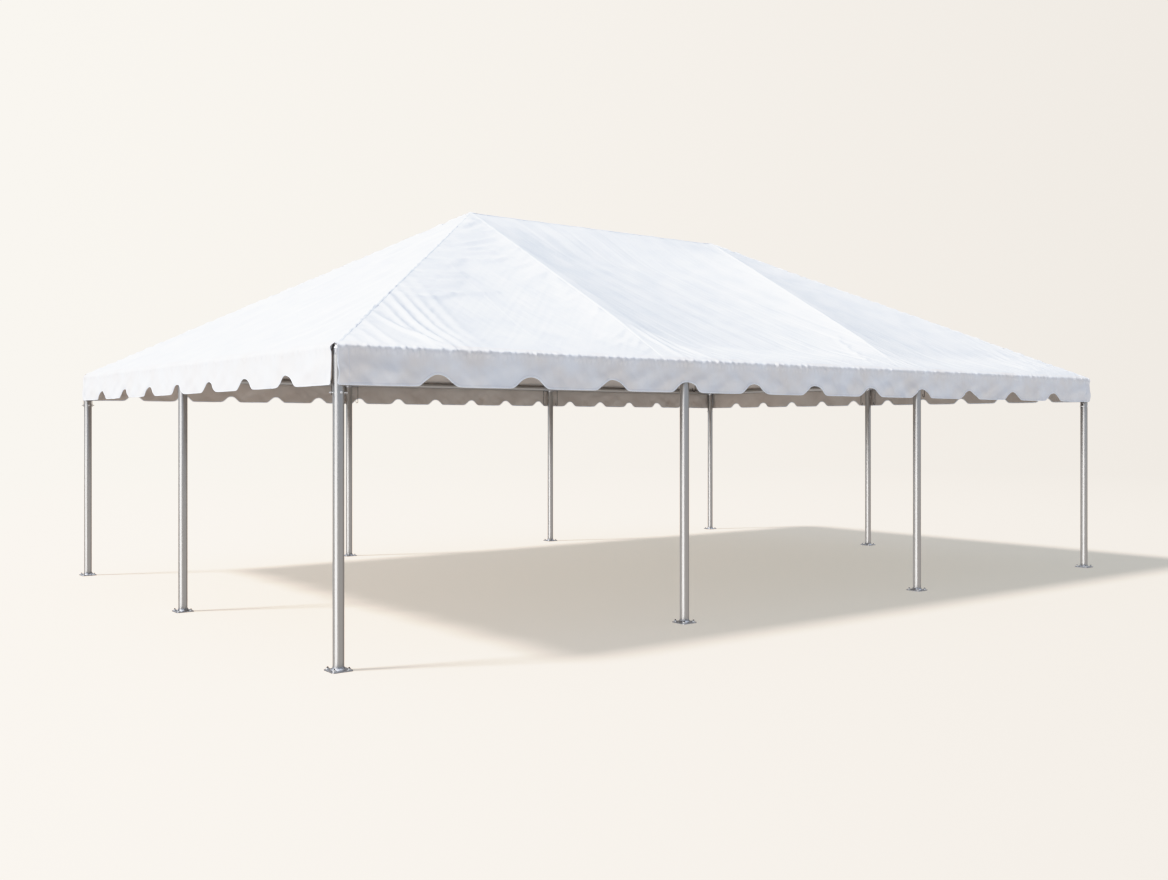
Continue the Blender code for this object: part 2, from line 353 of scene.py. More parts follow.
def make_aluminium():
    """Mill-finish aluminium: satin grey, with fine lines drawn along the tube by the die."""
    material, tree, shader = start_material("mill finish aluminium", 1.0, 0.3)
    around = add_node(tree, "ShaderNodeTexCoord").outputs["UV"]
    drawn = add_node(tree, "ShaderNodeMapping", {"Vector": around, "Scale": DRAWN_LINES}).outputs[0]
    lines = add_node(tree, "ShaderNodeTexNoise", {"Vector": drawn, "Scale": 1.0, "Detail": 4.0})
    patches = add_node(tree, "ShaderNodeMapping", {"Vector": around, "Scale": STAINS}).outputs[0]
    stains = add_node(tree, "ShaderNodeTexNoise", {"Vector": patches, "Scale": 1.0, "Detail": 3.0})
    two_tones(tree, shader, lines.outputs["Fac"], "a3a19e", "c2c0bd")
    uneven_shine(tree, shader, stains, 0.32, 0.40)
    emboss(tree, shader, lines, 0.00002, 0.2)
    return material


aluminium = make_aluminium()


def is_mouth(face):
    """True for the disc in the middle of a tube's end, and not for the wall round it."""
    return is_cap(face) and face.calc_center_median().xy.length < TUBE_WALL


def lay_along(bar, start, end):
    """Turns an upright bar and moves it between two points."""
    bar.location = (start + end) / 2
    bar.rotation_euler = (end - start).to_track_quat("Z", "Y").to_euler()
    settle(bar)


def add_tube(start, end, radius):
    """A drawn tube from start to end, open at both ends."""
    deselect()
    length = (end - start).length
    bpy.ops.mesh.primitive_cylinder_add(vertices=TUBE_SIDES, radius=radius, depth=length)
    tube = bpy.context.object
    shape(tube, "FACE", is_cap, bpy.ops.mesh.inset, thickness=TUBE_WALL, use_individual=True)
    push_in = bpy.ops.mesh.extrude_region_shrink_fatten
    shape(tube, "FACE", is_mouth, push_in, TRANSFORM_OT_shrink_fatten={"value": -TUBE_MOUTH})
    ease(tube, 0.0007)
    lay_along(tube, start, end)
    smooth(tube)
    return painted(tube, aluminium)


def add_bolt(at, along, radius, proud):
    """A bolt through a tube at a point, with a hexagon head and a nut."""
    turn = Vector(along).to_track_quat("Z", "Y").to_matrix().to_4x4()
    half = radius + proud
    shank = add_round(BOLT_RADIUS, (0.0, 0.0, -half), 2 * half, 20)
    parts = [painted(shank, zinc)]
    for foot in (radius + BOLT_HEAD_GAP, -radius - BOLT_HEAD_GAP - BOLT_HEAD_HEIGHT):
        head = add_round(BOLT_HEAD, (0.0, 0.0, foot), BOLT_HEAD_HEIGHT, HEXAGON, 0.001)
        parts.append(painted(head, zinc))
    bolt = joined(parts)
    bolt.data.transform(Matrix.Translation(at) @ turn)
    return bolt


for place in PLACES:
    low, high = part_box("leg_" + place)
    middle = (low + high) / 2
    leg_radius = (high.x - low.x) / 2
    foot = Vector((middle.x, middle.y, LEG_FOOT))
    head = Vector((middle.x, middle.y, high.z))
    parts = [add_tube(foot, head, leg_radius)]
    if "corner" in place:
        pin = Vector((middle.x, middle.y, CORNER_BOLT_HEIGHT))
        parts.append(add_bolt(pin, (1.0, 0.0, 0.0), leg_radius, CORNER_BOLT_PROUD))
        parts.append(add_bolt(pin, (0.0, 1.0, 0.0), leg_radius, BOLT_PROUD))
    else:
        pin = Vector((middle.x, middle.y, MIDDLE_BOLT_HEIGHT))
        across = (1.0, 0.0, 0.0) if "middle" in place else (0.0, 1.0, 0.0)
        parts.append(add_bolt(pin, across, leg_radius, MIDDLE_BOLT_PROUD))
    leg = finish_piece(joined(parts), "post_" + place)
    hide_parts("leg_" + place)

# Fittings
# Galvanised steel tube, cut and welded round a ball. The rails and rafters slip over a fitting's
# spigots, and the fittings over the legs have a socket for their leg.
HALF_LENGTH = 4.572
HALF_WIDTH = 3.048
HALF_BAY = 1.524
HALF_RIDGE = 1.675
RAIL_HEIGHT = 2.1108
CROWN_HEIGHT = 3.7129
SPIGOT_RADIUS = 0.0285
SPIGOT_LENGTH = 0.152
SOCKET_RADIUS = 0.0371
# How deep the fittings' sockets reach into the legs
SOCKET_DEPTH = 0.02
BALL_RADIUS = 0.0335
SLEEVE_RADIUS = 0.0335
SLEEVE_LENGTH = 0.24
# The finest shape that a weld keeps, and the share of its faces that are needed to show it
WELD_GRAIN = 0.0032
WELD_FACES = 0.22
SIDES = {"left": -1, "right": 1}
FACES = {"front": -1, "back": 1}


def corner_node(side, face):
    return Vector((side * HALF_LENGTH, face * HALF_WIDTH, RAIL_HEIGHT))


def side_node(side, face):
    return Vector((side * HALF_BAY, face * HALF_WIDTH, RAIL_HEIGHT))


def end_node(side):
    return Vector((side * HALF_LENGTH, 0.0, RAIL_HEIGHT))


def crown_node(side):
    return Vector((side * HALF_RIDGE, 0.0, CROWN_HEIGHT))


def toward(start, end, distance):
    return start + (end - start).normalized() * distance


def add_bar(start, end, radius):
    """A round bar, or a tube whose mouth is hidden, from start to end."""
    deselect()
    bpy.ops.mesh.primitive_cylinder_add(vertices=40, radius=radius, depth=(end - start).length)
    bar = bpy.context.object
    lay_along(bar, start, end)
    return bar


def welded(parts):
    """Runs tubes and balls together as a weld does, with soft inside corners."""
    piece = joined(parts)
    melt = piece.modifiers.new("melt", "REMESH")
    melt.mode = "VOXEL"
    melt.voxel_size = WELD_GRAIN
    soften = piece.modifiers.new("soften", "SMOOTH")
    soften.factor = 0.5
    soften.iterations = 5
    thin = piece.modifiers.new("thin", "DECIMATE")
    thin.ratio = WELD_FACES
    for modifier in ("melt", "soften", "thin"):
        bpy.ops.object.modifier_apply(modifier=modifier)
    smooth(piece)
    return painted(piece, galvanised)


def add_fitting(node, targets):
    """A ball with a spigot towards each of the targets."""
    deselect()
    bpy.ops.mesh.primitive_uv_sphere_add(segments=40, ring_count=20, radius=BALL_RADIUS, location=node)
    parts = [bpy.context.object]
    settle(parts[0])
    for target in targets:
        parts.append(add_bar(node, toward(node, target, SPIGOT_LENGTH), SPIGOT_RADIUS))
    return parts


def add_socket(node):
    leg_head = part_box("leg_" + PLACES[0])[1].z
    return add_bar(node, Vector((node.x, node.y, leg_head - SOCKET_DEPTH)), SOCKET_RADIUS)


def add_corner_fitting(name, side, face):
    node = corner_node(side, face)
    targets = (side_node(side, face), end_node(side), crown_node(side))
    fitting = welded(add_fitting(node, targets) + [add_socket(node)])
    finish_piece(fitting, f"knuckle_{name}")
    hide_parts(f"corner_fitting_{name}")


def add_crown_fitting(name, side):
    node = crown_node(side)
    targets = [crown_node(-side), end_node(side)]
    for face in FACES.values():
        targets += [side_node(side, face), corner_node(side, face)]
    fitting = welded(add_fitting(node, targets))
    finish_piece(fitting, f"crown_knuckle_{name}")
    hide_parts(f"crown_fitting_{name}")


def add_tee(name, node, along, target):
    """The fitting on the middle of a rail: a sleeve, a leg socket and a rafter spigot."""
    reach = Vector(along) * SLEEVE_LENGTH / 2
    parts = [add_bar(node - reach, node + reach, SLEEVE_RADIUS), add_socket(node)]
    parts.append(add_bar(node, toward(node, target, SPIGOT_LENGTH), SPIGOT_RADIUS))
    finish_piece(welded(parts), f"tee_{name}")


for side_name, side in SIDES.items():
    add_crown_fitting(side_name, side)
    add_tee(f"{side_name}_end", end_node(side), (0.0, 1.0, 0.0), crown_node(side))
    for face_name, face in FACES.items():
        add_corner_fitting(f"{face_name}_{side_name}", side, face)
        add_tee(f"{face_name}_{side_name}", side_node(side, face), (1.0, 0.0, 0.0), crown_node(side))

# Rails, rafters and ridge
# The same drawn aluminium tube, 60 mm across: a rail along each eave, hip, side and end rafters
# up to the crowns, and a short ridge. A bolt holds each end on its spigot.
RAIL_RADIUS = 0.030
BOLT_FROM_END = 0.055
# How far the mouth of a tube laps over the end of its spigot
TUBE_LAP = 0.002


def add_frame_tube(name, node, start, end):
    """A tube between two fittings, bolted level through both ends."""
    first = toward(start, end, SPIGOT_LENGTH - TUBE_LAP)
    last = toward(end, start, SPIGOT_LENGTH - TUBE_LAP)
    level = (last - first).cross(Vector((0.0, 0.0, 1.0))).normalized()
    parts = [add_tube(first, last, RAIL_RADIUS)]
    for at in (toward(first, last, BOLT_FROM_END), toward(last, first, BOLT_FROM_END)):
        parts.append(add_bolt(at, level, RAIL_RADIUS, BOLT_PROUD))
    tube = finish_piece(joined(parts), name)
    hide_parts(node)


for face_name, face in FACES.items():
    rail = f"{face_name}_eave_rail"
    add_frame_tube(f"{face_name}_rail_tube", rail, corner_node(-1, face), corner_node(1, face))
for side_name, side in SIDES.items():
    rail = f"{side_name}_eave_rail"
    add_frame_tube(f"{side_name}_rail_tube", rail, corner_node(side, -1), corner_node(side, 1))
    rafter = f"end_rafter_{side_name}"
    add_frame_tube(f"end_rafter_tube_{side_name}", rafter, end_node(side), crown_node(side))
    for face_name, face in FACES.items():
        quarter = f"{face_name}_{side_name}"
        low = corner_node(side, face)
        add_frame_tube(f"hip_rafter_tube_{quarter}", f"hip_rafter_{quarter}", low, crown_node(side))
        low = side_node(side, face)
        add_frame_tube(f"side_rafter_tube_{quarter}", f"side_rafter_{quarter}", low, crown_node(side))
add_frame_tube("ridge_tube", "ridge_pole", crown_node(-1), crown_node(1))

# Straps and hooks
# A black steel strap goes over the top of each corner fitting and down both sides of the leg to
# its bolt. Beside the other legs, two black wire hooks hang from the rail.
STRAP_WIDTH = 0.006
STRAP_THICKNESS = 0.0022
STRAP_OUT = 0.0415
STRAP_SHOULDER = 0.028
STRAP_CLAMP_OUT = 0.0475
STRAP_CLAMP_TOP = 1.905
STRAP_FOOT = 1.800
STRAP_TOP = 2.1475
# How far below its clamp's top a strap starts to bend in, and how far above it has done so
STRAP_STEP = 0.012
STRAP_BEND_STEPS = 6
HOOK_WIRE = 0.0032
HOOK_OUT = 0.118
# How far a hook's upper end reaches into its rail
HOOK_GRIP = 0.004
HOOK_SHANK = 1.98
HOOK_FOOT = 1.880
HOOK_BEND = 0.013
HOOK_BEND_STEPS = 8
HOOK_LIP = 2.2 * HOOK_BEND


def bent_bar(points, width, thickness):
    """A flat bar along a line of points, or with no width a wire, as a mesh."""
    curve = bpy.data.curves.new("bent bar", "CURVE")
    curve.dimensions = "3D"
    spline = curve.splines.new("POLY")
    spline.points.add(len(points) - 1)
    for slot, point in zip(spline.points, points):
        slot.co = (*point, 1.0)
    if width:
        curve.extrude = width / 2
        curve.bevel_depth = thickness / 2
        curve.bevel_resolution = 1
    else:
        curve.bevel_depth = thickness
        curve.bevel_resolution = 3
    curve.use_fill_caps = True
    bar = bpy.data.objects.new("bent bar", curve)
    bpy.context.scene.collection.objects.link(bar)
    pick(bar)
    bpy.ops.object.convert(target="MESH")
    smooth(bpy.context.object)
    return painted(bpy.context.object, black_steel)


def strap_points():
    """Up one side of the leg from its clamp, round over the fitting and down the other side."""
    side = [(STRAP_CLAMP_OUT, STRAP_FOOT), (STRAP_CLAMP_OUT, STRAP_CLAMP_TOP - STRAP_STEP)]
    side += [(STRAP_OUT, STRAP_CLAMP_TOP + STRAP_STEP), (STRAP_OUT, 2.0)]
    for step in range(STRAP_BEND_STEPS + 1):
        angle = math.pi / 2 * step / STRAP_BEND_STEPS
        out = STRAP_OUT - STRAP_SHOULDER * (1 - math.cos(angle))
        side.append((out, STRAP_TOP - STRAP_SHOULDER * (1 - math.sin(angle))))
    points = [(-out, 0.0, height) for out, height in side]
    return points + [(out, 0.0, height) for out, height in reversed(side)]


def hook_points(turn):
    """Down from the rail and round a bend towards the leg."""
    points = [(0.0, 0.0, RAIL_HEIGHT - RAIL_RADIUS + HOOK_GRIP), (0.0, 0.0, HOOK_SHANK)]
    for step in range(HOOK_BEND_STEPS + 1):
        angle = math.pi * step / HOOK_BEND_STEPS
        across = HOOK_BEND * (1 - math.cos(angle))
        points.append((turn * across, 0.0, HOOK_FOOT + HOOK_BEND * (1 - math.sin(angle))))
    return points + [(turn * 2 * HOOK_BEND, 0.0, HOOK_FOOT + HOOK_LIP)]


for place in PLACES:
    at = centre_of("leg_" + place)
    if "corner" in place:
        strap = bent_bar(strap_points(), STRAP_WIDTH, STRAP_THICKNESS)
        strap.data.transform(Matrix.Translation((at.x, at.y, 0.0)))
        finish_piece(strap, "hold_down_strap_" + place)
    else:
        turn = 0.0 if "middle" in place else math.pi / 2
        pair = []
        for way in (-1, 1):
            hook = bent_bar(hook_points(-way), 0.0, HOOK_WIRE)
            hook.data.transform(Matrix.Translation((way * HOOK_OUT, 0.0, 0.0)))
            pair.append(hook)
        hooks = joined(pair)
        hooks.data.transform(Matrix.Translation((at.x, at.y, 0.0)) @ Matrix.Rotation(turn, 4, "Z"))
        finish_piece(hooks, "wire_hooks_" + place)

# The top
# One sheet of white PVC-coated polyester for each slope, drawn tight over the rafters and turned
# down over the eaves. It lies a little hollow between the rafters and creases where it is pulled.
OVERHANG = 0.0465
EAVE_HEIGHT = 2.130
RIDGE_HEIGHT = cad_box[1].z
OUT_X = HALF_LENGTH + OVERHANG
OUT_Y = HALF_WIDTH + OVERHANG
RISE = RIDGE_HEIGHT - EAVE_HEIGHT
HIP_RUN = OUT_X - HALF_RIDGE
SIDE_SLOPE = math.atan2(RISE, OUT_Y)
END_SLOPE = math.atan2(RISE, HIP_RUN)
TURN_RADIUS = 0.030
TURN_DROP = 0.008
CLOTH = 0.0012
# How far apart the points of each slope's mesh lie: the two that face the camera have more
SIDE_GRID = {"front": 0.023, "back": 0.030}
END_GRID = {"left": 0.025, "right": 0.033}
SEAM_WIDTH = 0.034
# How far the cloth is cut away from the corners: on the long sides and on the ends
LONG_SETBACK = 0.018
SHORT_SETBACK = 0.050
SEAM_FOOT_LEFT = -1.744
SEAM_FOOT_RIGHT = 1.304
SEAM_CREST = 0.026
BAY_SAG = 0.105
TRIANGLE_SAG = 0.075
END_SAG = 0.040
# The span that hangs by just its sag
SAG_SPAN = 2.9
# How far the cloth may sink where a rafter lies under it, and how wide that is
HELD_DEPTH = 0.0055
HELD_WIDTH = 0.045
# How many sines make up one kind of waves
WAVE_COUNT = 9
# The kinds of waves in the cloth: the height of each, how far it leans, its length, how many
# lengths it runs on for, and its seed
DOWN_SLOPE = [(0.0007, 0.0, 0.085, 22.0, 3), (0.0014, 0.0, 0.42, 6.0, 5)]
BESIDE_HIP = [(0.0009, 0.0, 0.085, 12.0, 4)]
AT_EAVE = [(0.0032, 0.0, 0.095, 9.0, 6), (0.0040, 0.0, 0.23, 5.0, 7)]
AT_CROWN = [(0.0030, -0.42, 0.10, 7.0, 8)]
ON_END = [(0.0030, 0.42, 0.13, 16.0, 11), (0.0012, 0.42, 0.06, 20.0, 13), (0.0040, 0.50, 0.42, 6.0, 12)]
ALONG_HIP = [(0.0040, 0.0, 0.19, 1.0, 31)]
HIP_DENTS = [(0.0052, 0.0, 0.085, 1.0, 32)]
# How far from a hip these last two reach
HIP_REACH = 0.06
# Folds that run from the lower hip down to the eave: the distance from the middle of the tent
# at the top and at the foot, the bend, the half width and the height, all in metres
HIP_FOLDS = [
    (4.44, 4.42, 0.00, 0.024, 0.004),
    (4.33, 4.27, 0.00, 0.028, 0.006),
    (4.20, 4.14, 0.02, 0.030, 0.009),
    (4.07, 3.74, 0.06, 0.032, 0.016),
    (3.90, 3.84, 0.04, 0.026, 0.011),
    (3.76, 3.71, 0.10, 0.030, 0.016),
    (3.63, 3.60, 0.05, 0.032, 0.012),
    (3.50, 3.50, 0.06, 0.038, 0.007),
    (3.34, 3.40, 0.02, 0.042, 0.005),
]
# How many folds run down beside each hip of an end slope
END_FOLDS = 7
# How many folds fan out from the foot of each cross seam, and how strong they are there
FOOT_FOLDS = 6
LEFT_FAN = 1.7
RIGHT_FAN = 0.35
SIDE_FOLDS = 4
# How many folds hang from each hip to a cross seam, and how many short ones are left of the
# first seam, with how far up the highest starts and how far apart they lie
HANGING_FOLDS = 17
WHOLE_FOLDS = 9
HANGING_TOP = 3.02
HANGING_SPACING = 0.125
SEAM_FOLDS = 24
SEAM_FOLDS_TOP = 2.55
SEAM_FOLDS_SPACING = 0.100
# How much of the folds at the left end there is at the right one
RIGHT_FOLDS = 0.22
# The pattern in the cloth: streaks and lines of tension are given by how many there
# are in a metre across them and along them, marks and grains by how many there are in a metre.
# On the valances the marks are painted patches of warm and cool light.
STREAKS = (22.0, 1.1, 1.0)
TENSION_LINES = (17.0, 1.3, 0.0)
TENSION_DEPTH = 0.022
MARKS = 3.5
GRAINS = 320.0
INNER_MARKS = 2.5
INNER_GRAINS = 260.0


def mark_cloth_and_paint_light(tree, shader, flat, scale, dull, bright):
    """Colours the cloth in soft patches between two hex colours: random marks on the slopes, painted
    patches of warm and cool light on the valances.
    """
    marks = add_node(tree, "ShaderNodeTexNoise", {"Vector": flat, "Scale": scale, "Detail": 5.0})
    clear = {"Value": marks.outputs["Fac"], "From Min": 0.35, "From Max": 0.65}
    clear = add_node(tree, "ShaderNodeMapRange", clear)
    two_tones(tree, shader, clear.outputs["Result"], dull, bright)
    return marks


def make_cloth_outside(name, dull, bright):
    """PVC-coated polyester, outside: cool white, smooth and satin, with faint streaks of tension.
    Its lines of tension follow the "pull" of each point, and are as strong as that says."""
    material, tree, shader = start_material(name, 0.0, 0.42)
    flat = add_node(tree, "ShaderNodeAttribute", attribute_name="flat").outputs["Vector"]
    uneven_shine(tree, shader, mark_cloth_and_paint_light(tree, shader, flat, MARKS, dull, bright), 0.28, 0.38)
    grain = add_node(tree, "ShaderNodeTexNoise", {"Vector": flat, "Scale": GRAINS, "Detail": 2.0})
    fine = add_node(tree, "ShaderNodeBump", {"Height": grain.outputs["Fac"], "Distance": 0.0002})
    stretched = add_node(tree, "ShaderNodeMapping", {"Vector": flat, "Scale": STREAKS}).outputs[0]
    streaks = add_node(tree, "ShaderNodeTexNoise", {"Vector": stretched, "Scale": 1.0, "Detail": 4.0})
    soft = {"Height": streaks.outputs["Fac"], "Distance": 0.002, "Strength": 0.5}
    soft = add_node(tree, "ShaderNodeBump", soft | {"Normal": fine.outputs["Normal"]})
    pull = add_node(tree, "ShaderNodeAttribute", attribute_name="pull").outputs["Vector"]
    strength = add_node(tree, "ShaderNodeSeparateXYZ", {0: pull}).outputs["Z"]
    drawn = add_node(tree, "ShaderNodeMapping", {"Vector": pull, "Scale": TENSION_LINES}).outputs[0]
    lines = add_node(tree, "ShaderNodeTexNoise", {"Vector": drawn, "Scale": 1.0, "Detail": 3.0})
    tight = {"Height": lines.outputs["Fac"], "Distance": TENSION_DEPTH, "Strength": strength}
    tight = add_node(tree, "ShaderNodeBump", tight | {"Normal": soft.outputs["Normal"]})
    tree.links.new(tight.outputs["Normal"], shader.inputs["Normal"])
    return material


def make_inner_cloth_with_painted_shade():
    """The same cloth, inside: matt, in a warm grey that paints the shade and the warm light bounced from
    the floor under the top.
    """
    material, tree, shader = start_material("cloth inner face with painted shade", 0.0, 0.7)
    flat = add_node(tree, "ShaderNodeAttribute", attribute_name="flat").outputs["Vector"]
    # Two warm grey tones, darker than the outside: painted shade and painted warm bounce light
    mark_cloth_and_paint_light(tree, shader, flat, INNER_MARKS, "c6b7ab", "d4c6ba")
    grain = add_node(tree, "ShaderNodeTexNoise", {"Vector": flat, "Scale": INNER_GRAINS, "Detail": 2.0})
    emboss(tree, shader, grain, 0.0003)
    return material


cloth_outside = make_cloth_outside("white coated cloth", "f1f4fa", "f9fbff")
# Warm and cool tones for the valances: random patches of painted warm bounce light and cool sky light
valance_cloth_with_painted_light = make_cloth_outside("white valance cloth with painted light patches", "f2efee", "f6f9ff")
# The inner faces of the slopes and valances carry painted shade in their colour
inner_cloth_with_painted_shade = make_inner_cloth_with_painted_shade()


def rising(value, start, end):
    """0 below start, 1 above end, and a smooth rise between."""
    share = np.clip((value - start) / (end - start), 0.0, 1.0)
    return share * share * (3 - 2 * share)


def ripples(u, v, length, stretch, seed):
    """Random waves some length apart along u, that run on for stretch times that along v."""
    random = np.random.default_rng(seed)
    total = np.zeros(u.shape)
    for _ in range(WAVE_COUNT):
        across = random.uniform(0.6, 1.5) / length
        along = random.normal(0.0, 0.5) / (length * stretch)
        phase = random.uniform(0.0, 2 * math.pi)
        total += np.sin(2 * math.pi * (across * u + along * v) + phase)
    return total / math.sqrt(WAVE_COUNT)


def waves(u, v, kinds, first_seed=0, change=None):
    """The sum of some kinds of waves over u and v. change is done to each kind's waves first."""
    total = 0.0
    for height, lean, length, stretch, seed in kinds:
        wave = ripples(u + lean * v, v, length, stretch, first_seed + seed)
        total = total + height * (change(wave) if change else wave)
    return total


def crease(u, v, start, middle, end, width, height):
    """A soft fold of that height and half width on a curve from start past middle to end."""
    start, middle, end = (np.array(point) for point in (start, middle, end))
    length = np.linalg.norm(middle - start) + np.linalg.norm(end - middle)
    steps = int(2.5 * length / width) + 2
    raised = np.zeros(u.shape)
    for share in np.linspace(0.0, 1.0, steps):
        point = (1 - share) ** 2 * start + 2 * share * (1 - share) * middle + share ** 2 * end
        taper = math.sin(math.pi * (0.06 + 0.88 * share)) ** 0.7
        near = (abs(u - point[0]) < 3 * width) & (abs(v - point[1]) < 3 * width)
        distance = (u[near] - point[0]) ** 2 + (v[near] - point[1]) ** 2
        raised[near] = np.maximum(raised[near], taper * np.exp(-distance / width ** 2))
    return height * raised


def profile(v, run, slope):
    """How far out and how high the cloth lies at v from its turned-down edge, its outward normal
    in that plane, and how far up the slope from the eave it is."""
    turn = math.pi / 2 - slope
    tangent = TURN_RADIUS * math.tan(turn / 2)
    centre_height = EAVE_HEIGHT - tangent
    angle = np.clip((v - TURN_DROP) / TURN_RADIUS, 0.0, turn)
    climb = np.maximum(v - TURN_DROP - TURN_RADIUS * turn, 0.0)
    hang = np.minimum(v - TURN_DROP, 0.0)
    out = run - TURN_RADIUS + TURN_RADIUS * np.cos(angle) - math.cos(slope) * climb
    height = centre_height + TURN_RADIUS * np.sin(angle) + math.sin(slope) * climb + hang
    return out, height, np.cos(angle), np.sin(angle), climb + np.where(climb > 0, tangent, 0.0)


def shoulder_end(slope):
    """Where on the cloth, from its turned-down edge, the bend over the eave ends."""
    return TURN_DROP + TURN_RADIUS * (math.pi / 2 - slope)


def cloth_length(run, slope):
    """The length of the cloth from its turned-down edge to the ridge or crown."""
    top = run - TURN_RADIUS + TURN_RADIUS * math.sin(slope)
    return shoulder_end(slope) + top / math.cos(slope)


SIDE_CLOTH = cloth_length(OUT_Y, SIDE_SLOPE)
END_CLOTH = cloth_length(HIP_RUN, END_SLOPE)
SIDE_UP = math.hypot(OUT_Y, RISE)
END_UP = math.hypot(HIP_RUN, RISE)
HIP_LENGTH = math.hypot(HIP_RUN, SIDE_UP)


def seam_lines(share):
    """Where the two cross seams of a long slope lie, at a share of the way up it."""
    left = SEAM_FOOT_LEFT + (-HALF_RIDGE - SEAM_FOOT_LEFT) * share
    right = SEAM_FOOT_RIGHT + (HALF_RIDGE - SEAM_FOOT_RIGHT) * share
    return left, right


def hip_ripple(share, to_hip):
    """The unevenness of the cloth along a hip: soft waves and small dents, at a share of the way
    up it and at a distance from it."""
    along = HIP_LENGTH * share
    dents = waves(along, along, HIP_DENTS, change=lambda wave: np.minimum(wave, 0.25))
    return (waves(along, along, ALONG_HIP) + dents) * np.exp(-to_hip / HIP_REACH)


def leaning(x, up):
    """A place across the lines of tension, which lean over to the right near the eave."""
    return x + 0.30 * up + 0.32 * (1 - np.exp(-up / 0.45))


def rafter_lines(share):
    """Where the side rafters lie under a long slope, at a share of the way up it."""
    right = HALF_BAY + (HALF_RIDGE - HALF_BAY) * share
    return -right, right


def held_up(relief, off_rafter):
    """Keeps the cloth from sinking into a rafter that lies at a distance from it."""
    lowest = -HELD_DEPTH - 1.2 * np.maximum(off_rafter - HELD_WIDTH, 0.0)
    above = relief - lowest
    return lowest + (above + np.sqrt(above ** 2 + 0.001 ** 2)) / 2


def side_relief(x, up):
    """How far the cloth of a long slope stands off its plane."""
    share = np.clip(up / SIDE_UP, 0.0, 1.0)
    hip = OUT_X - HIP_RUN * share
    left, right = seam_lines(share)
    left_rafter, right_rafter = rafter_lines(share)
    off_eave = rising(up, 0.05, 0.6)
    off_ridge = 1 - rising(up, SIDE_UP - 0.9, SIDE_UP - 0.02)
    relief = np.zeros(x.shape)
    bays = (
        (-hip, np.minimum(left, left_rafter), TRIANGLE_SAG),
        (np.maximum(left, left_rafter), np.minimum(right, right_rafter), BAY_SAG * off_ridge),
        (np.maximum(right, right_rafter), hip, TRIANGLE_SAG),
    )
    for start, end, sag in bays:
        width = np.maximum(end - start, 1e-6)
        across = np.clip((x - start) / width, 0.0, 1.0)
        relief -= off_eave * sag * np.minimum(width / SAG_SPAN, 1.1) ** 1.5 * 4 * across * (1 - across)
    for seam in (left, right):
        near = np.exp(-np.hypot(x - seam, 0.012) / np.where(x < seam, 0.17, 0.24))
        relief += SEAM_CREST * near * rising(up, 0.04, 0.9) * (1 - share) ** 0.25
    relief += side_creases(x, up, share, left, right, hip)
    off_rafter = np.minimum(abs(x - left_rafter), abs(x - right_rafter))
    return held_up(relief, np.minimum(off_rafter, np.maximum(hip - abs(x), 0.0)))


def side_creases(x, up, share, left, right, hip):
    """The folds and streaks in the cloth of a long slope."""
    to_hip = np.maximum(hip - abs(x), 0.0)
    free = rising(up, 0.04, 0.2) * np.clip(to_hip / 0.25, 0.0, 1.0)
    in_middle = rising(x, left - 0.1, left + 0.15) * (1 - rising(x, right - 0.15, right + 0.1))
    lines = leaning(x, up)
    at_eave = rising(x, left, left + 0.6) * np.exp(-up / 0.55)
    at_crown = (1 - rising(x, left - 0.15, left)) * rising(up, 1.5, 2.3)
    relief = in_middle * waves(lines, up, DOWN_SLOPE) + (1 - in_middle) * waves(to_hip, up, BESIDE_HIP)
    relief += at_eave * waves(lines, up, AT_EAVE) + at_crown * waves(up, x, AT_CROWN)
    relief = free * relief + hip_ripple(share, to_hip)
    for way in (-1, 1):
        strength = 1.0 if way < 0 else RIGHT_FOLDS
        for top, foot, bend, width, height in HIP_FOLDS:
            start = (way * top, (OUT_X - top) * SIDE_UP / HIP_RUN - 0.03)
            end = (way * foot, 0.03)
            middle = (way * (top + foot + bend) / 2, (start[1] + end[1]) * 0.42)
            relief += crease(x, up, start, middle, end, width, strength * height)
    return relief + foot_creases(x, up) + pull_creases(x, up)


def foot_creases(x, up):
    """Folds that fan out on the right of each seam's foot, and a few on the left of the second."""
    relief = np.zeros(x.shape)
    for seam, strength in ((SEAM_FOOT_LEFT, LEFT_FAN), (SEAM_FOOT_RIGHT, RIGHT_FAN)):
        for number in range(FOOT_FOLDS):
            top = (seam + 0.10 + 0.09 * number, 0.66 - 0.07 * number)
            foot = (seam + 0.24 + 0.17 * number, 0.05)
            middle = (0.55 * top[0] + 0.45 * foot[0] - 0.03, 0.40 * top[1])
            relief += crease(x, up, top, middle, foot, 0.027, strength * (0.0080 - 0.0008 * number))
    for number in range(SIDE_FOLDS):
        top = (SEAM_FOOT_RIGHT - 0.10 - 0.05 * number, 0.80 - 0.17 * number)
        foot = (top[0] - 0.13, top[1] - 0.20)
        middle = (top[0] - 0.14, top[1] - 0.04)
        relief += crease(x, up, top, middle, foot, 0.030, 0.008)
    return relief


def beside_seam(way, up, aside):
    """A point on a long slope, at a height up it, to one side of a cross seam. way is -1 for the
    left one."""
    left, right = seam_lines(min(up / SIDE_UP, 0.99))
    return (left if way < 0 else right) + aside, up


def under_middle(start, end, drop):
    """A point under the middle of a line."""
    return (start[0] + end[0]) / 2, (start[1] + end[1]) / 2 - drop


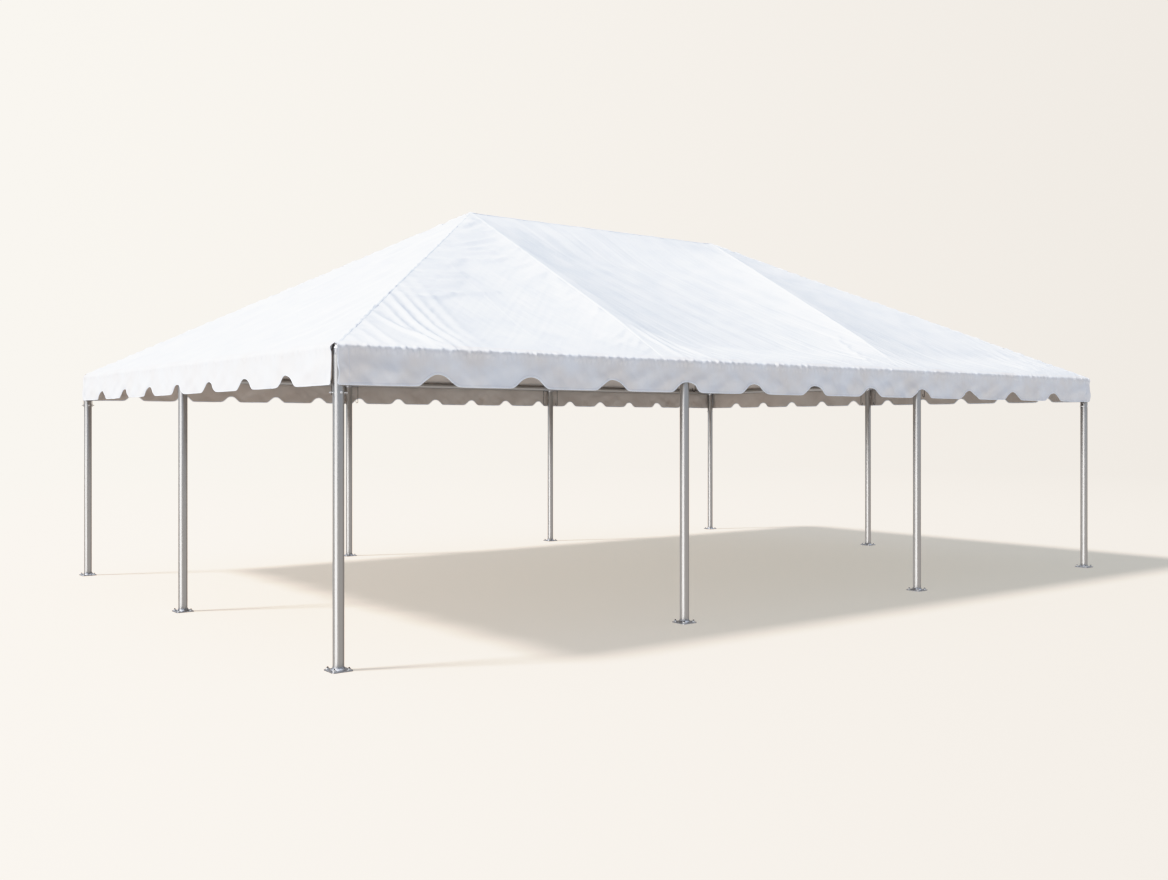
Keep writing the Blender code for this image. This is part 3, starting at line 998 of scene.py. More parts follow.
def hip_crease(x, up, way, number, random):
    """A shallow fold that hangs from the hip to a cross seam. The lower ones end on the way."""
    start_up = HANGING_TOP - HANGING_SPACING * number + random.uniform(-0.03, 0.03)
    start = (way * (OUT_X - HIP_RUN * start_up / SIDE_UP - 0.02), start_up)
    end = beside_seam(way, start_up + random.uniform(0.24, 0.44), way * 0.02)
    if number >= WHOLE_FOLDS:
        reach = random.uniform(0.3, 0.6)
        end = (start[0] + (end[0] - start[0]) * reach, start[1] + (end[1] - start[1]) * reach)
    middle = under_middle(start, end, random.uniform(0.03, 0.12))
    height = random.uniform(0.010, 0.020) * (1.0 if way < 0 else RIGHT_FOLDS)
    return crease(x, up, start, middle, end, random.uniform(0.025, 0.036), height)


def seam_crease(x, up, number, random):
    """A short fold down to the left from the first cross seam."""
    end_up = SEAM_FOLDS_TOP - SEAM_FOLDS_SPACING * number + random.uniform(-0.05, 0.05)
    end = beside_seam(-1, end_up, -0.03)
    reach = random.uniform(0.10, 0.55)
    start = (end[0] - reach, end[1] - random.uniform(0.5, 0.75) * reach)
    middle = under_middle(start, end, 0.03)
    width = random.uniform(0.022, 0.032)
    return crease(x, up, start, middle, end, width, random.uniform(0.004, 0.013))


def pull_creases(x, up):
    """The folds that hang between the hips and the cross seams."""
    random = np.random.default_rng(21)
    relief = sum(hip_crease(x, up, -1, number, random) for number in range(HANGING_FOLDS))
    relief += sum(seam_crease(x, up, number, random) for number in range(SEAM_FOLDS))
    relief += sum(hip_crease(x, up, 1, number, random) for number in range(HANGING_FOLDS))
    return relief


def end_relief(y, up):
    """How far the cloth of an end slope stands off its plane."""
    share = np.clip(up / END_UP, 0.0, 1.0)
    hip = OUT_Y * (1 - share)
    across = np.clip(abs(y) / np.maximum(hip, 1e-6), 0.0, 1.0)
    relief = -END_SAG * (hip / OUT_Y) * 4 * across * (1 - across) * rising(up, 0.06, 0.6)
    to_hip = np.maximum(hip - abs(y), 0.0)
    free = rising(up, 0.04, 0.2) * np.clip(to_hip / 0.25, 0.0, 1.0)
    relief += free * waves(y, up, ON_END) + hip_ripple(share, to_hip)
    for number in range(END_FOLDS):
        for way in (-1, 1):
            top = OUT_Y - 0.16 - 0.17 * number
            start = (way * top, (OUT_Y - top) * END_UP / OUT_Y - 0.03)
            end = (way * (top - 0.02 * number), 0.03)
            middle = ((start[0] + end[0]) / 2, start[1] * 0.4)
            relief += crease(y, up, start, middle, end, 0.032, 0.006 - 0.0004 * number)
    return held_up(relief, np.minimum(abs(y), to_hip))


def raised(across, v, run, slope, relief, lift):
    """How far out and how high the cloth of a slope lies with its relief, and lifted off it."""
    out, height, normal_out, normal_up, up = profile(v, run, slope)
    stand = relief(across, up) * rising(v, TURN_DROP, TURN_DROP + 0.08) + lift
    return out + normal_out * stand, height + normal_up * stand


def side_cloth(x, v, face, lift=0.0):
    """Points on the cloth of a long slope, x along it and v up from its edge, lifted off it."""
    out, height = raised(x, v, OUT_Y, SIDE_SLOPE, side_relief, lift)
    reach = HALF_RIDGE + HIP_RUN * np.maximum(out, 0.0) / OUT_Y
    return np.stack((np.clip(x, -reach, reach), face * out, height), axis=-1)


def end_cloth(y, v, side, lift=0.0):
    """Points on the cloth of an end slope, y along it and v up from its edge, lifted off it."""
    out, height = raised(y, v, HIP_RUN, END_SLOPE, end_relief, lift)
    reach = OUT_Y * np.maximum(out, 0.0) / HIP_RUN
    return np.stack((side * (HALF_RIDGE + out), np.clip(y, -reach, reach), height), axis=-1)


def add_grid(width, length, step_across, step_along):
    """A flat grid whose X runs over the width, centred, and whose Y runs up the length."""
    deselect()
    columns = max(round(width / step_across), 1)
    rows = max(round(length / step_along), 1)
    bpy.ops.mesh.primitive_grid_add(
        x_subdivisions=columns, y_subdivisions=rows, size=1.0, location=(0.0, length / 2, 0.0)
    )
    grid = bpy.context.object
    grid.scale = (width, length, 1.0)
    settle(grid)
    return grid


def everything(part):
    """True for every face, to work on a whole mesh."""
    return True


def read_points(piece):
    values = np.empty(len(piece.data.vertices) * 3)
    piece.data.vertices.foreach_get("co", values)
    return values.reshape(-1, 3)


def write_points(piece, points):
    piece.data.vertices.foreach_set("co", points.ravel())
    piece.data.update()


def note(piece, name, values):
    """Keeps three values for each point of a piece, for its material."""
    attribute = piece.data.attributes.new(name, "FLOAT_VECTOR", "POINT")
    attribute.data.foreach_set("vector", values.astype(np.float32).ravel())


def side_pull(flat):
    """How each point of a long slope lies across and along the lines of tension, and how strong
    these are there: strongest near the eave, from the first bay on."""
    x, up = flat[:, 0], flat[:, 1]
    strength = 0.12 + 0.88 * np.exp(-up / 0.75) * rising(x, -2.2, -0.8)
    return np.stack((leaning(x, up), up, strength), axis=-1)


def end_pull(flat):
    """The same for an end slope, where the lines are faint."""
    y, up = flat[:, 0], flat[:, 1]
    return np.stack((y + 0.42 * up, up, np.full(up.shape, 0.10)), axis=-1)


def turn_outward(piece, outward):
    """Turns the faces over if the first ones look against a direction."""
    total = Vector()
    for face in piece.data.polygons[: len(piece.data.polygons) // 2]:
        total += face.normal * face.area
    if total.dot(Vector(outward)) < 0:
        shape(piece, "FACE", everything, bpy.ops.mesh.flip_normals)


def thicken(piece, thickness, inner=None):
    """Gives a sheet its thickness, inwards, with the inner material on its inner face."""
    if inner:
        piece.data.materials.append(inner)
    wall = piece.modifiers.new("thickness", "SOLIDIFY")
    wall.thickness = thickness
    wall.offset = -1.0
    wall.material_offset = 1 if inner else 0
    pick(piece)
    bpy.ops.object.modifier_apply(modifier="thickness")
    smooth(piece, 60)


def crowd_to_foot(piece, length):
    """Draws the rows of a grid together near its foot, where the cloth bends most."""
    points = read_points(piece)
    points[:, 1] = length * (points[:, 1] / length) ** 1.25
    write_points(piece, points)


def trimmed_grid(half, setback, run, length, slope, up_length, step, seams=()):
    """A grid for one slope, cut along both hips and cut away at its foot's ends. Its edges
    follow the seams, each given by its foot and its head."""
    margin = 0.002
    grid = add_grid(2 * (half + 2 * margin), length, step, step)
    crowd_to_foot(grid, length)
    foot = length - up_length
    bend_end = shoulder_end(slope) + margin
    cuts = [((0.0, bend_end, 0.0), (0.0, 1.0, 0.0), False)]
    for way in (-1, 1):
        hip = Vector((way * up_length, run, 0.0)).normalized()
        cuts.append(((way * (half + margin), foot, 0.0), hip, True))
        cuts.append(((way * (half - setback), 0.0, 0.0), (way, 0.0, 0.0), False))
    for start, end in seams:
        for aside in (-SEAM_WIDTH / 2, 0.0, SEAM_WIDTH / 2):
            across = Vector((up_length, start - end, 0.0)).normalized()
            cuts.append(((start + aside, foot, 0.0), across, False))
    for point, across, clear in cuts:
        bisect = bpy.ops.mesh.bisect
        shape(grid, "FACE", everything, bisect, plane_co=point, plane_no=across, clear_outer=clear)

    def is_corner(face):
        middle = face.calc_center_median()
        return abs(middle.x) > half - setback and middle.y < bend_end

    shape(grid, "FACE", is_corner, bpy.ops.mesh.delete, type="FACE")
    return grid


def add_slope(place, grid, cloth, pull, way, outward):
    """Hangs one slope's cloth. cloth gives the places of its points, and way is -1 or 1."""
    flat = read_points(grid)
    note(grid, "flat", flat)
    note(grid, "pull", pull(flat))
    write_points(grid, cloth(flat[:, 0], flat[:, 1], way))
    painted(grid, cloth_outside)
    turn_outward(grid, outward)
    thicken(grid, CLOTH, inner_cloth_with_painted_shade)
    finish_piece(grid, f"{place}_slope")
    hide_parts(f"{place}_roof_panel")
    return grid


for face_name, face in FACES.items():
    seams = ((SEAM_FOOT_LEFT, -HALF_RIDGE), (SEAM_FOOT_RIGHT, HALF_RIDGE))
    step = SIDE_GRID[face_name]
    grid = trimmed_grid(OUT_X, LONG_SETBACK, HIP_RUN, SIDE_CLOTH, SIDE_SLOPE, SIDE_UP, step, seams)
    slope = add_slope(face_name, grid, side_cloth, side_pull, face, (0.0, face, 1.0))
    carriers = [f"{face_name}_rail_tube", "ridge_tube"]
    carriers += [f"side_rafter_tube_{face_name}_{side_name}" for side_name in SIDES]
for side_name, side in SIDES.items():
    step = END_GRID[side_name]
    grid = trimmed_grid(OUT_Y, SHORT_SETBACK, OUT_Y, END_CLOTH, END_SLOPE, END_UP, step)
    slope = add_slope(side_name, grid, end_cloth, end_pull, side, (side, 0.0, 1.0))
    carriers = [f"{side_name}_rail_tube", f"end_rafter_tube_{side_name}"]

# Seams
# The cloths are welded together under a flat strip of the same coated polyester, on the hips, on
# the ridge and down each long slope. A fainter weld joins the widths of cloth near each end.
SEAM_LIFT = 0.0022
SEAM_GAP = 0.0004
SEAM_THICKNESS = 0.0008
SEAM_STEP = 0.024
SEAM_COLUMNS = 10
SEAM_MARKS = 30.0
WELD_LINE_WIDTH = 0.030
# How far from the middle of the tent the faint weld lies, and its height against a seam's
PANEL_WELD = 2.76
PANEL_WELD_SHARE = 0.3
HIP_STRIP_FOOT = 0.035
# How far a cross seam's strip ends below the ridge, how far up the cloth a faint weld starts,
# and how much its length is cut so that it ends under the hip's seam
SEAM_HEAD = 0.006
PANEL_WELD_FOOT = 0.05
PANEL_WELD_HEAD = 0.02
# The bead along the middle of a hip's seam
HIP_BEAD = 0.0016
HIP_BEAD_WIDTH = 0.006
RIDGE_LIFT = 0.001


def make_seam_strip():
    """A welded strip of the coated cloth: whiter and glossier than the cloth that it covers."""
    material, tree, shader = start_material("welded seam strip", 0.0, 0.34)
    flat = add_node(tree, "ShaderNodeAttribute", attribute_name="flat").outputs["Vector"]
    marks = add_node(tree, "ShaderNodeTexNoise", {"Vector": flat, "Scale": SEAM_MARKS, "Detail": 3.0})
    two_tones(tree, shader, marks.outputs["Fac"], "f1f6ff", "fbfdff")
    emboss(tree, shader, marks, 0.0004)
    return material


seam_strip = make_seam_strip()


def strip_height(across, width):
    """The height of a strip's cross section: two ridges beside a flat middle, down to nothing."""
    share = np.clip(2 * abs(across) / width, 0.0, 1.0)
    edge = 1 - rising(share, 0.86, 1.0)
    return SEAM_LIFT * edge * (0.55 + 0.45 * np.exp(-((share - 0.68) / 0.16) ** 2))


def add_strip(name, length, width, points, outward, material=seam_strip):
    """A seam strip. points gives the places of flat positions, lifted by a height."""
    grid = add_grid(width, length, width / SEAM_COLUMNS, SEAM_STEP)
    flat = read_points(grid)
    note(grid, "flat", flat)
    write_points(grid, points(flat[:, 0], flat[:, 1], strip_height(flat[:, 0], width) + SEAM_GAP))
    painted(grid, material)
    turn_outward(grid, outward)
    thicken(grid, SEAM_THICKNESS)
    finish_piece(grid, name)


def cross_seam(side, face):
    """Points of the left or right seam down a long slope."""
    def points(across, along, lift):
        share = np.clip((along - (SIDE_CLOTH - SIDE_UP)) / SIDE_UP, 0.0, 1.0)
        left, right = seam_lines(share)
        return side_cloth((left if side < 0 else right) + across, along, face, lift)
    return points


def hip_seam(side, face):
    """Points of the strip over a hip, half on each slope."""
    def points(across, along, lift):
        share = np.clip((along + HIP_STRIP_FOOT) / HIP_LENGTH, 0.0, 0.999)
        bead = lift + HIP_BEAD * np.exp(-(across / HIP_BEAD_WIDTH) ** 2)
        side_x = OUT_X - HIP_RUN * share - abs(across) * SIDE_UP / HIP_LENGTH
        side_v = SIDE_CLOTH - SIDE_UP * (1 - share) - abs(across) * HIP_RUN / HIP_LENGTH
        on_side = side_cloth(side * side_x, side_v, face, bead)
        end_y = OUT_Y * (1 - share) - abs(across) * END_UP / HIP_LENGTH
        end_v = END_CLOTH - END_UP * (1 - share) - abs(across) * OUT_Y / HIP_LENGTH
        on_end = end_cloth(face * end_y, end_v, side, bead)
        return np.where((across > 0)[:, None], on_side, on_end)
    return points


def ridge_seam(across, along, lift):
    """Points of the strip over the ridge, half on each long slope."""
    x = along - HALF_RIDGE
    front = side_cloth(x, SIDE_CLOTH - abs(across), -1, lift + RIDGE_LIFT)
    back = side_cloth(x, SIDE_CLOTH - abs(across), 1, lift + RIDGE_LIFT)
    return np.where((across > 0)[:, None], back, front)


def panel_weld(side, face):
    """Points of the faint weld that runs up from the eave near an end."""
    def points(across, along, lift):
        x = side * PANEL_WELD + across
        return side_cloth(x, along + PANEL_WELD_FOOT, face, PANEL_WELD_SHARE * lift)
    return points


for face_name, face in FACES.items():
    up = (0.0, face, 1.0)
    for side_name, side in SIDES.items():
        quarter = f"{face_name}_{side_name}"
        length = SIDE_CLOTH - SEAM_HEAD
        strip = seam_strip if side < 0 else cloth_outside
        add_strip(f"cross_seam_{quarter}", length, SEAM_WIDTH, cross_seam(side, face), up, strip)
        length = HIP_LENGTH - HIP_STRIP_FOOT
        add_strip(f"hip_seam_{quarter}", length, SEAM_WIDTH, hip_seam(side, face), (0.0, 0.0, 1.0))
        length = (OUT_X - PANEL_WELD) * SIDE_UP / HIP_RUN - PANEL_WELD_HEAD
        weld = panel_weld(side, face)
        add_strip(f"panel_weld_{quarter}", length, WELD_LINE_WIDTH, weld, up, cloth_outside)
add_strip("ridge_seam", 2 * HALF_RIDGE, SEAM_WIDTH, ridge_seam, (0.0, 0.0, 1.0))

# Valances
# A strip of the coated cloth is welded over the bend of each eave and hangs from it. Its lower
# edge is cut in notches and bound with a bright piping, and a doubled band stiffens its ends.
VALANCE_DROP = 0.262
VALANCE_LAP = 0.040
VALANCE_LIFT = 0.0016
# The depth of a notch, the radius of its crown, the slope of its flanks and its width
WIDE_NOTCH = (0.085, 0.130, math.radians(40), 0.300)
NARROW_NOTCH = (0.064, 0.075, math.radians(45), 0.190)
NOTCH_SHOULDER = 0.014
FRONT_NOTCHES = 11
LEFT_NOTCHES = 7
BACK_NOTCHES = 16
RIGHT_NOTCHES = 10
# How deep the folds are on the long and on the short sides
LONG_FOLDS = 1.0
SHORT_FOLDS = 0.45
END_ROUNDING = 0.012
END_BAND = 0.084
BAND_LIFT = 0.0012
BAND_INSET = 0.004
BAND_THICKNESS = 0.001
# How far from a band's inner edge its stitches run
BAND_STITCHES = 0.006
# How many folds fan out from each upper corner of a valance
CORNER_FOLDS = 4
# How far apart the points of its mesh lie where the notches are wide and where they are narrow
WIDE_STEP = 0.0115
NARROW_STEP = 0.016
HANGING_ROWS = 18
LAPPED_ROWS = 7
END_ROWS = 18
PIPING_HEIGHT = 0.010
PIPING_BULGE = 0.0026
PIPING_OVERHANG = 0.0015
HEM_INSET = 0.0150
HEM_WIDTH = 0.0028
HEM_BEAD = 0.0006
HEM_LIFT = 0.0004
STITCHES = 140.0
# The kinds of waves in a valance, as in the slopes; each one's seed is added to the valance's
SOFT_FOLDS = [
    (0.0060, 1.6, 0.40, 1.0, 0),
    (0.0060, -1.8, 0.46, 1.0, 1),
    (0.0040, 0.0, 0.90, 6.0, 2),
    (0.0014, 0.0, 0.15, 4.0, 3),
]
SHARP_FOLDS = [(0.0042, 0.9, 0.34, 1.0, 6), (0.0042, -1.1, 0.38, 1.0, 7)]
PUCKERS = [(0.0042, -0.4, 0.105, 2.0, 4), (0.0036, 0.3, 0.050, 2.0, 5)]
# The small tufts of cloth at the bend over the eave, and the wavering line on which they lie
TUFTS = [(0.0065, 0.0, 0.048, 9.0, 8)]
TUFT_LINE = -0.010
TUFT_WAVER = [(0.009, 0.0, 0.17, 9.0, 9)]
TUFT_REACH = 0.015
PUCKER_LINE = 0.005
PUCKER_REACH = 0.034
# How far the cloth may sink towards the legs behind it
DEEPEST = -0.004


def make_hem_thread():
    """Lockstitch thread along the hems, a little greyer than the cloth."""
    material, tree, shader = start_material("hem thread", 0.0, 0.8)
    flat = add_node(tree, "ShaderNodeAttribute", attribute_name="flat").outputs["Vector"]
    stitches = add_node(tree, "ShaderNodeTexNoise", {"Vector": flat, "Scale": STITCHES, "Detail": 1.0})
    two_tones(tree, shader, stitches.outputs["Fac"], "dcdee6", "eef0f6")
    emboss(tree, shader, stitches, 0.0006)
    return material


hem_thread = make_hem_thread()


def bend_start(slope):
    """The height at which the hanging cloth starts to bend over its eave."""
    return EAVE_HEIGHT - TURN_RADIUS * math.tan((math.pi / 2 - slope) / 2)


def notch_height(x, half, notch, notches):
    """How far the lower edge is cut away above the valance's foot."""
    depth, radius, flank_slope, width = notch
    pitch = 2 * half / (notches + 1)
    nearest = np.clip(np.round((x + half) / pitch), 1, notches)
    off = abs(x + half - nearest * pitch)
    crown_edge = radius * math.sin(flank_slope)
    crown = depth - radius + np.sqrt(radius ** 2 - np.minimum(off, crown_edge) ** 2)
    flank = crown - np.maximum(off - crown_edge, 0.0) * math.tan(flank_slope)
    return (flank + np.sqrt(flank ** 2 + NOTCH_SHOULDER ** 2)) / 2


def valance_relief(x, climb, end, seed, folds):
    """The folds of a valance, outwards: diamonds, fans from its upper corners, and puckers and
    tufts at the bend. climb is the height above the start of the bend."""
    relief = waves(x, climb, SOFT_FOLDS, seed) + waves(x, climb, SHARP_FOLDS, seed, abs)
    for way in (-1, 1):
        for number in range(CORNER_FOLDS):
            foot = (way * (end - 0.10 - 0.16 * number), -0.19)
            middle = (way * (end - 0.03 - 0.06 * number), -0.11)
            relief += crease(x, climb, (way * end, 0.0), middle, foot, 0.022 + 0.005 * number, 0.010)
    stand = relief * folds * rising(-climb, 0.02, 0.17) - DEEPEST
    held_off = DEEPEST + (stand + np.sqrt(stand ** 2 + 0.002 ** 2)) / 2
    pucker = waves(x, climb, PUCKERS, seed, lambda wave: np.maximum(wave, -0.2))
    pucker *= np.exp(-((climb - PUCKER_LINE) / PUCKER_REACH) ** 2)
    tufts = folds * waves(x, climb, TUFTS, seed, lambda wave: np.clip(wave, 0.0, 1.2))
    tuft_line = TUFT_LINE + waves(x, climb, TUFT_WAVER, seed)
    tufts *= np.exp(-((climb - tuft_line) / TUFT_REACH) ** 2)
    return held_off + VALANCE_LIFT + pucker + tufts


class Valance:
    """One valance: its eave, the half length of that and of its cloth, its notches and folds."""

    def __init__(self, long_side, way, notch, notches, seed):
        self.cloth = side_cloth if long_side else end_cloth
        self.half = OUT_X if long_side else OUT_Y
        self.end = self.half - (LONG_SETBACK if long_side else SHORT_SETBACK)
        self.notch = notch
        self.notches = notches
        self.step = WIDE_STEP if notch is WIDE_NOTCH else NARROW_STEP
        self.folds = LONG_FOLDS if long_side else SHORT_FOLDS
        self.slope = SIDE_SLOPE if long_side else END_SLOPE
        self.outward = (0.0, way, 0.0) if long_side else (way, 0.0, 0.0)
        self.way = way
        self.seed = seed

    def foot(self, x):
        """The lower edge, with its notches and its round end corners, below the bend."""
        inside = np.clip(abs(x) - (self.end - END_ROUNDING), 0.0, END_ROUNDING)
        rounding = END_ROUNDING - np.sqrt(END_ROUNDING ** 2 - inside ** 2)
        drop = EAVE_HEIGHT - VALANCE_DROP - bend_start(self.slope)
        return drop + notch_height(x, self.half, self.notch, self.notches) + rounding

    def place(self, grid, x, climb, lift):
        """Puts a grid's points on the valance, lifted off it, and keeps their flat places."""
        note(grid, "flat", np.stack((x, climb, x * 0), axis=-1))
        stand = valance_relief(x, climb, self.end, self.seed, self.folds) + lift
        points = self.cloth(x, TURN_DROP + np.maximum(climb, 0.0), self.way, stand)
        points[:, 2] += np.minimum(climb, 0.0)
        write_points(grid, points)

    def edge(self):
        """The line round the free edge: down one end, along the notches and up the other."""
        x = np.linspace(-self.end, self.end, round(2 * self.end / self.step) + 1)
        climb = self.foot(x)
        rise = np.linspace(0.0, climb[0], END_ROWS)[:-1]
        end = np.full(rise.shape, self.end)
        return np.concatenate((-end, x, end)), np.concatenate((rise, climb, rise[::-1]))


def climb_to(valance, x, share):
    """The climb of a point of the cloth, at a share of the rows from its lower to its upper edge."""
    foot = valance.foot(x)
    row = share * (HANGING_ROWS + LAPPED_ROWS)
    over = TURN_RADIUS * (math.pi / 2 - valance.slope) + VALANCE_LAP
    above = (row - HANGING_ROWS) / LAPPED_ROWS * over
    below = foot * np.maximum(1 - row / HANGING_ROWS, 0.0) ** 1.4
    return np.where(row < HANGING_ROWS, below, above)


def beside(x, climb, inset, row=slice(None)):
    """Points beside a line, each moved by its inset towards the cloth from its row on the line."""
    ahead = np.stack((np.gradient(x), np.gradient(climb)), axis=-1)
    ahead /= np.linalg.norm(ahead, axis=1)[:, None]
    return x[row] - ahead[row, 1] * inset, climb[row] + ahead[row, 0] * inset


def follow(x, climb, rings):
    """A grid with one row for each point of a line, and for its points their row and turn."""
    grid = add_grid(1.0, 1.0, 1 / rings, 1 / (len(x) - 1))
    flat = read_points(grid)
    return grid, np.rint(flat[:, 1] * (len(x) - 1)).astype(int), flat[:, 0] + 0.5


def add_piping(valance):
    """The piping round the edge: a tube squeezed on to the cloth."""
    x, climb = valance.edge()
    grid, row, turn = follow(x, climb, 10)
    angle = 2 * math.pi * turn
    inset = (1 - np.cos(angle)) / 2 * PIPING_HEIGHT - PIPING_OVERHANG
    valance.place(grid, *beside(x, climb, inset, row), PIPING_BULGE * np.sin(angle) - CLOTH / 2)
    shape(grid, "FACE", everything, bpy.ops.mesh.remove_doubles, threshold=0.00001)
    shape(grid, "FACE", everything, bpy.ops.mesh.normals_make_consistent, inside=False)
    return painted(grid, seam_strip)


def add_thread(valance, x, climb, lift):
    """A raised line of stitches along a line on the cloth."""
    grid, row, turn = follow(x, climb, 2)
    bead = lift + HEM_BEAD * (1 - abs(2 * turn - 1))
    valance.place(grid, *beside(x, climb, (turn - 0.5) * HEM_WIDTH, row), bead)
    turn_outward(grid, valance.outward)
    return painted(grid, hem_thread)


def add_end_band(valance, end_way):
    """The doubled band at one end of a valance, with its stitches."""
    grid = add_grid(END_BAND, 1.0, END_BAND / 10, 1 / END_ROWS)
    flat = read_points(grid)
    x = end_way * (valance.end - END_BAND / 2 - BAND_INSET) + flat[:, 0]
    foot = valance.foot(x) + 2 * BAND_INSET
    valance.place(grid, x, foot * (1 - flat[:, 1]), BAND_LIFT)
    painted(grid, valance_cloth_with_painted_light)
    turn_outward(grid, valance.outward)
    thicken(grid, BAND_THICKNESS)
    lowest = valance.foot(np.array([valance.end - END_BAND]))[0] + HEM_INSET
    line = np.linspace(lowest, -BAND_INSET, END_ROWS)
    across = np.full(line.shape, end_way * (valance.end - END_BAND + BAND_STITCHES))
    return [grid, add_thread(valance, across, line, BAND_LIFT)]


def add_valance(place, valance):
    """Hangs a valance with its piping, hem and end bands."""
    grid = add_grid(2 * valance.end, 1.0, valance.step, 1 / (HANGING_ROWS + LAPPED_ROWS))
    flat = read_points(grid)
    valance.place(grid, flat[:, 0], climb_to(valance, flat[:, 0], flat[:, 1]), 0.0)
    painted(grid, valance_cloth_with_painted_light)
    turn_outward(grid, valance.outward)
    thicken(grid, CLOTH, inner_cloth_with_painted_shade)
    finish_piece(grid, f"{place}_notched_valance")
    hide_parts(f"{place}_valance")
    hem = beside(*valance.edge(), HEM_INSET)
    trim = [add_piping(valance), add_thread(valance, *hem, HEM_LIFT)]
    for end_way in (-1, 1):
        trim += add_end_band(valance, end_way)
    edging = joined(trim)
    smooth(edging)
    finish_piece(edging, f"{place}_notched_valance_trim")


VALANCES = {
    "front": Valance(True, -1, WIDE_NOTCH, FRONT_NOTCHES, 40),
    "back": Valance(True, 1, NARROW_NOTCH, BACK_NOTCHES, 50),
    "left": Valance(False, -1, WIDE_NOTCH, LEFT_NOTCHES, 60),
    "right": Valance(False, 1, NARROW_NOTCH, RIGHT_NOTCHES, 70),
}
for place, valance in VALANCES.items():
    add_valance(place, valance)

# Floor, light and camera
# A plain warm white studio floor that runs into its backdrop, a soft key light from the back
# left, an upright band of light that the tubes mirror, and the photograph's viewpoint.
CAMERA_PLACE = (-7.909, -10.05, 1.604)
CAMERA_YAW = math.radians(37.42)
CAMERA_LENS = 35.8
SENSOR_WIDTH = 36.0
IMAGE_WIDTH = 1168
IMAGE_HEIGHT = 880
HORIZON_ROW = 425.3
FLOOR_RADIUS = 400.0
# Takes the height out of a direction
LEVEL = (1.0, 1.0, 0.0)
KEY_ELEVATION = math.radians(50)
KEY_HEADING = math.radians(158.5)
KEY_STRENGTH = 3.3
KEY_SPREAD = math.radians(10)
KEY_COLOUR = (1.0, 0.985, 0.96)
SKY = (0.367, 0.395, 0.450, 1.0)
# What the metal and the satin of the cloth mirror: floor and air all round, an upright band of
# light to the left of the camera, a dull side behind the tent, and a brighter sky high up
MIRRORED_LOW = (0.73, 0.705, 0.69, 1.0)
MIRRORED_HIGH = (0.66, 0.69, 0.74, 1.0)
MIRRORED_ABOVE = (0.36, 0.42, 0.52, 1.0)
BAND = (3.0, 3.0, 3.05, 1.0)
BAND_HEADING = math.radians(194)
# The cosines of the angles from its heading at which such a part of the air starts and is whole
BAND_EDGE = (math.cos(math.radians(27)), math.cos(math.radians(9)))
DULL = (0.44, 0.40, 0.37, 1.0)
DULL_HEADING = math.radians(25)
DULL_EDGE = (math.cos(math.radians(46)), math.cos(math.radians(28)))
SHEEN = (3.1, 3.3, 3.7, 1.0)
# Between which heights, of a direction one long, one of these passes into the next
HORIZON_BLEND = (-0.04, 0.04)
ABOVE_BLEND = (0.25, 0.45)
SHEEN_BLEND = (0.68, 0.84)
FLOOR_MATT = (0.56, 0.476, 0.418, 1.0)
FLOOR_GLOW = (0.145, 0.23, 0.29, 1.0)
# How far from the tent the floor starts to run into the backdrop, and where it has done so
FLOOR_BLEND = (8.0, 30.0)
# Keeps the colours of the floor from pinching together under the viewpoint
FLOOR_SOFTNESS = 3.0
# The backdrop and the floor, as they look at the left and right edges of the picture
BACKDROP_LEFT = "f9f6f0"
BACKDROP_RIGHT = "f0ebe4"
FLOOR_LEFT = "faf6f0"
FLOOR_RIGHT = "f4efe8"
# The brightest tones roll off softly, as on film: light, up to the brightest, and how it shows
BRIGHTEST = 2.0
TONE_STEPS = 801
TONES = [(0.35, 0.35), (0.7, 0.7), (0.9, 0.865), (1.1, 0.945), (1.4, 0.985)]

view = bpy.context.scene.view_settings
view.view_transform = "Standard"
view.use_curve_mapping = True
tones = view.curve_mapping
tones.white_level = (BRIGHTEST, BRIGHTEST, BRIGHTEST)
tone_curve = tones.curves[3]
for light, look in TONES:
    tone_curve.points.new(light / BRIGHTEST, look)
tones.update()


def shown(code):
    """The light that the tone curve shows as a hex colour."""
    levels = np.linspace(0.0, BRIGHTEST, TONE_STEPS)
    toned = [tones.evaluate(tone_curve, level / BRIGHTEST) for level in levels]
    return np.interp(linear(code)[:3], toned, levels)


def opaque(colour):
    """A colour of three values with the fourth that a node needs."""
    return (*colour, 1.0)


def across_picture(tree, direction, left, right, softness=0.0):
    """Blends two colours by the heading of a direction, over the width of the picture."""
    rightward = (math.cos(CAMERA_YAW), -math.sin(CAMERA_YAW), 0.0)
    aside = add_node(tree, "ShaderNodeVectorMath", {0: direction, 1: rightward}, operation="DOT_PRODUCT")
    level = {0: direction, 1: LEVEL, 2: (0.0, 0.0, softness)}
    level = add_node(tree, "ShaderNodeVectorMath", level, operation="MULTIPLY_ADD").outputs[0]
    distance = add_node(tree, "ShaderNodeVectorMath", {0: level}, operation="LENGTH")
    ratio = {0: aside.outputs["Value"], 1: distance.outputs["Value"]}
    ratio = add_node(tree, "ShaderNodeMath", ratio, operation="DIVIDE").outputs[0]
    edge = math.sin(math.atan(SENSOR_WIDTH / 2 / CAMERA_LENS))
    share = add_node(tree, "ShaderNodeMapRange", {"Value": ratio, "From Min": -edge, "From Max": edge})
    blend = {0: share.outputs["Result"], 6: opaque(left), 7: opaque(right)}
    return add_node(tree, "ShaderNodeMix", blend, data_type="RGBA").outputs[2]


def add_glow(tree, unseen, seen):
    """Light that the floor gives by itself: one colour to all around, and one to the camera."""
    is_seen = add_node(tree, "ShaderNodeLightPath").outputs["Is Camera Ray"]
    colour = add_node(tree, "ShaderNodeMix", {0: is_seen, 6: unseen, 7: seen}, data_type="RGBA")
    return add_node(tree, "ShaderNodeEmission", {"Color": colour.outputs[2]}).outputs[0]


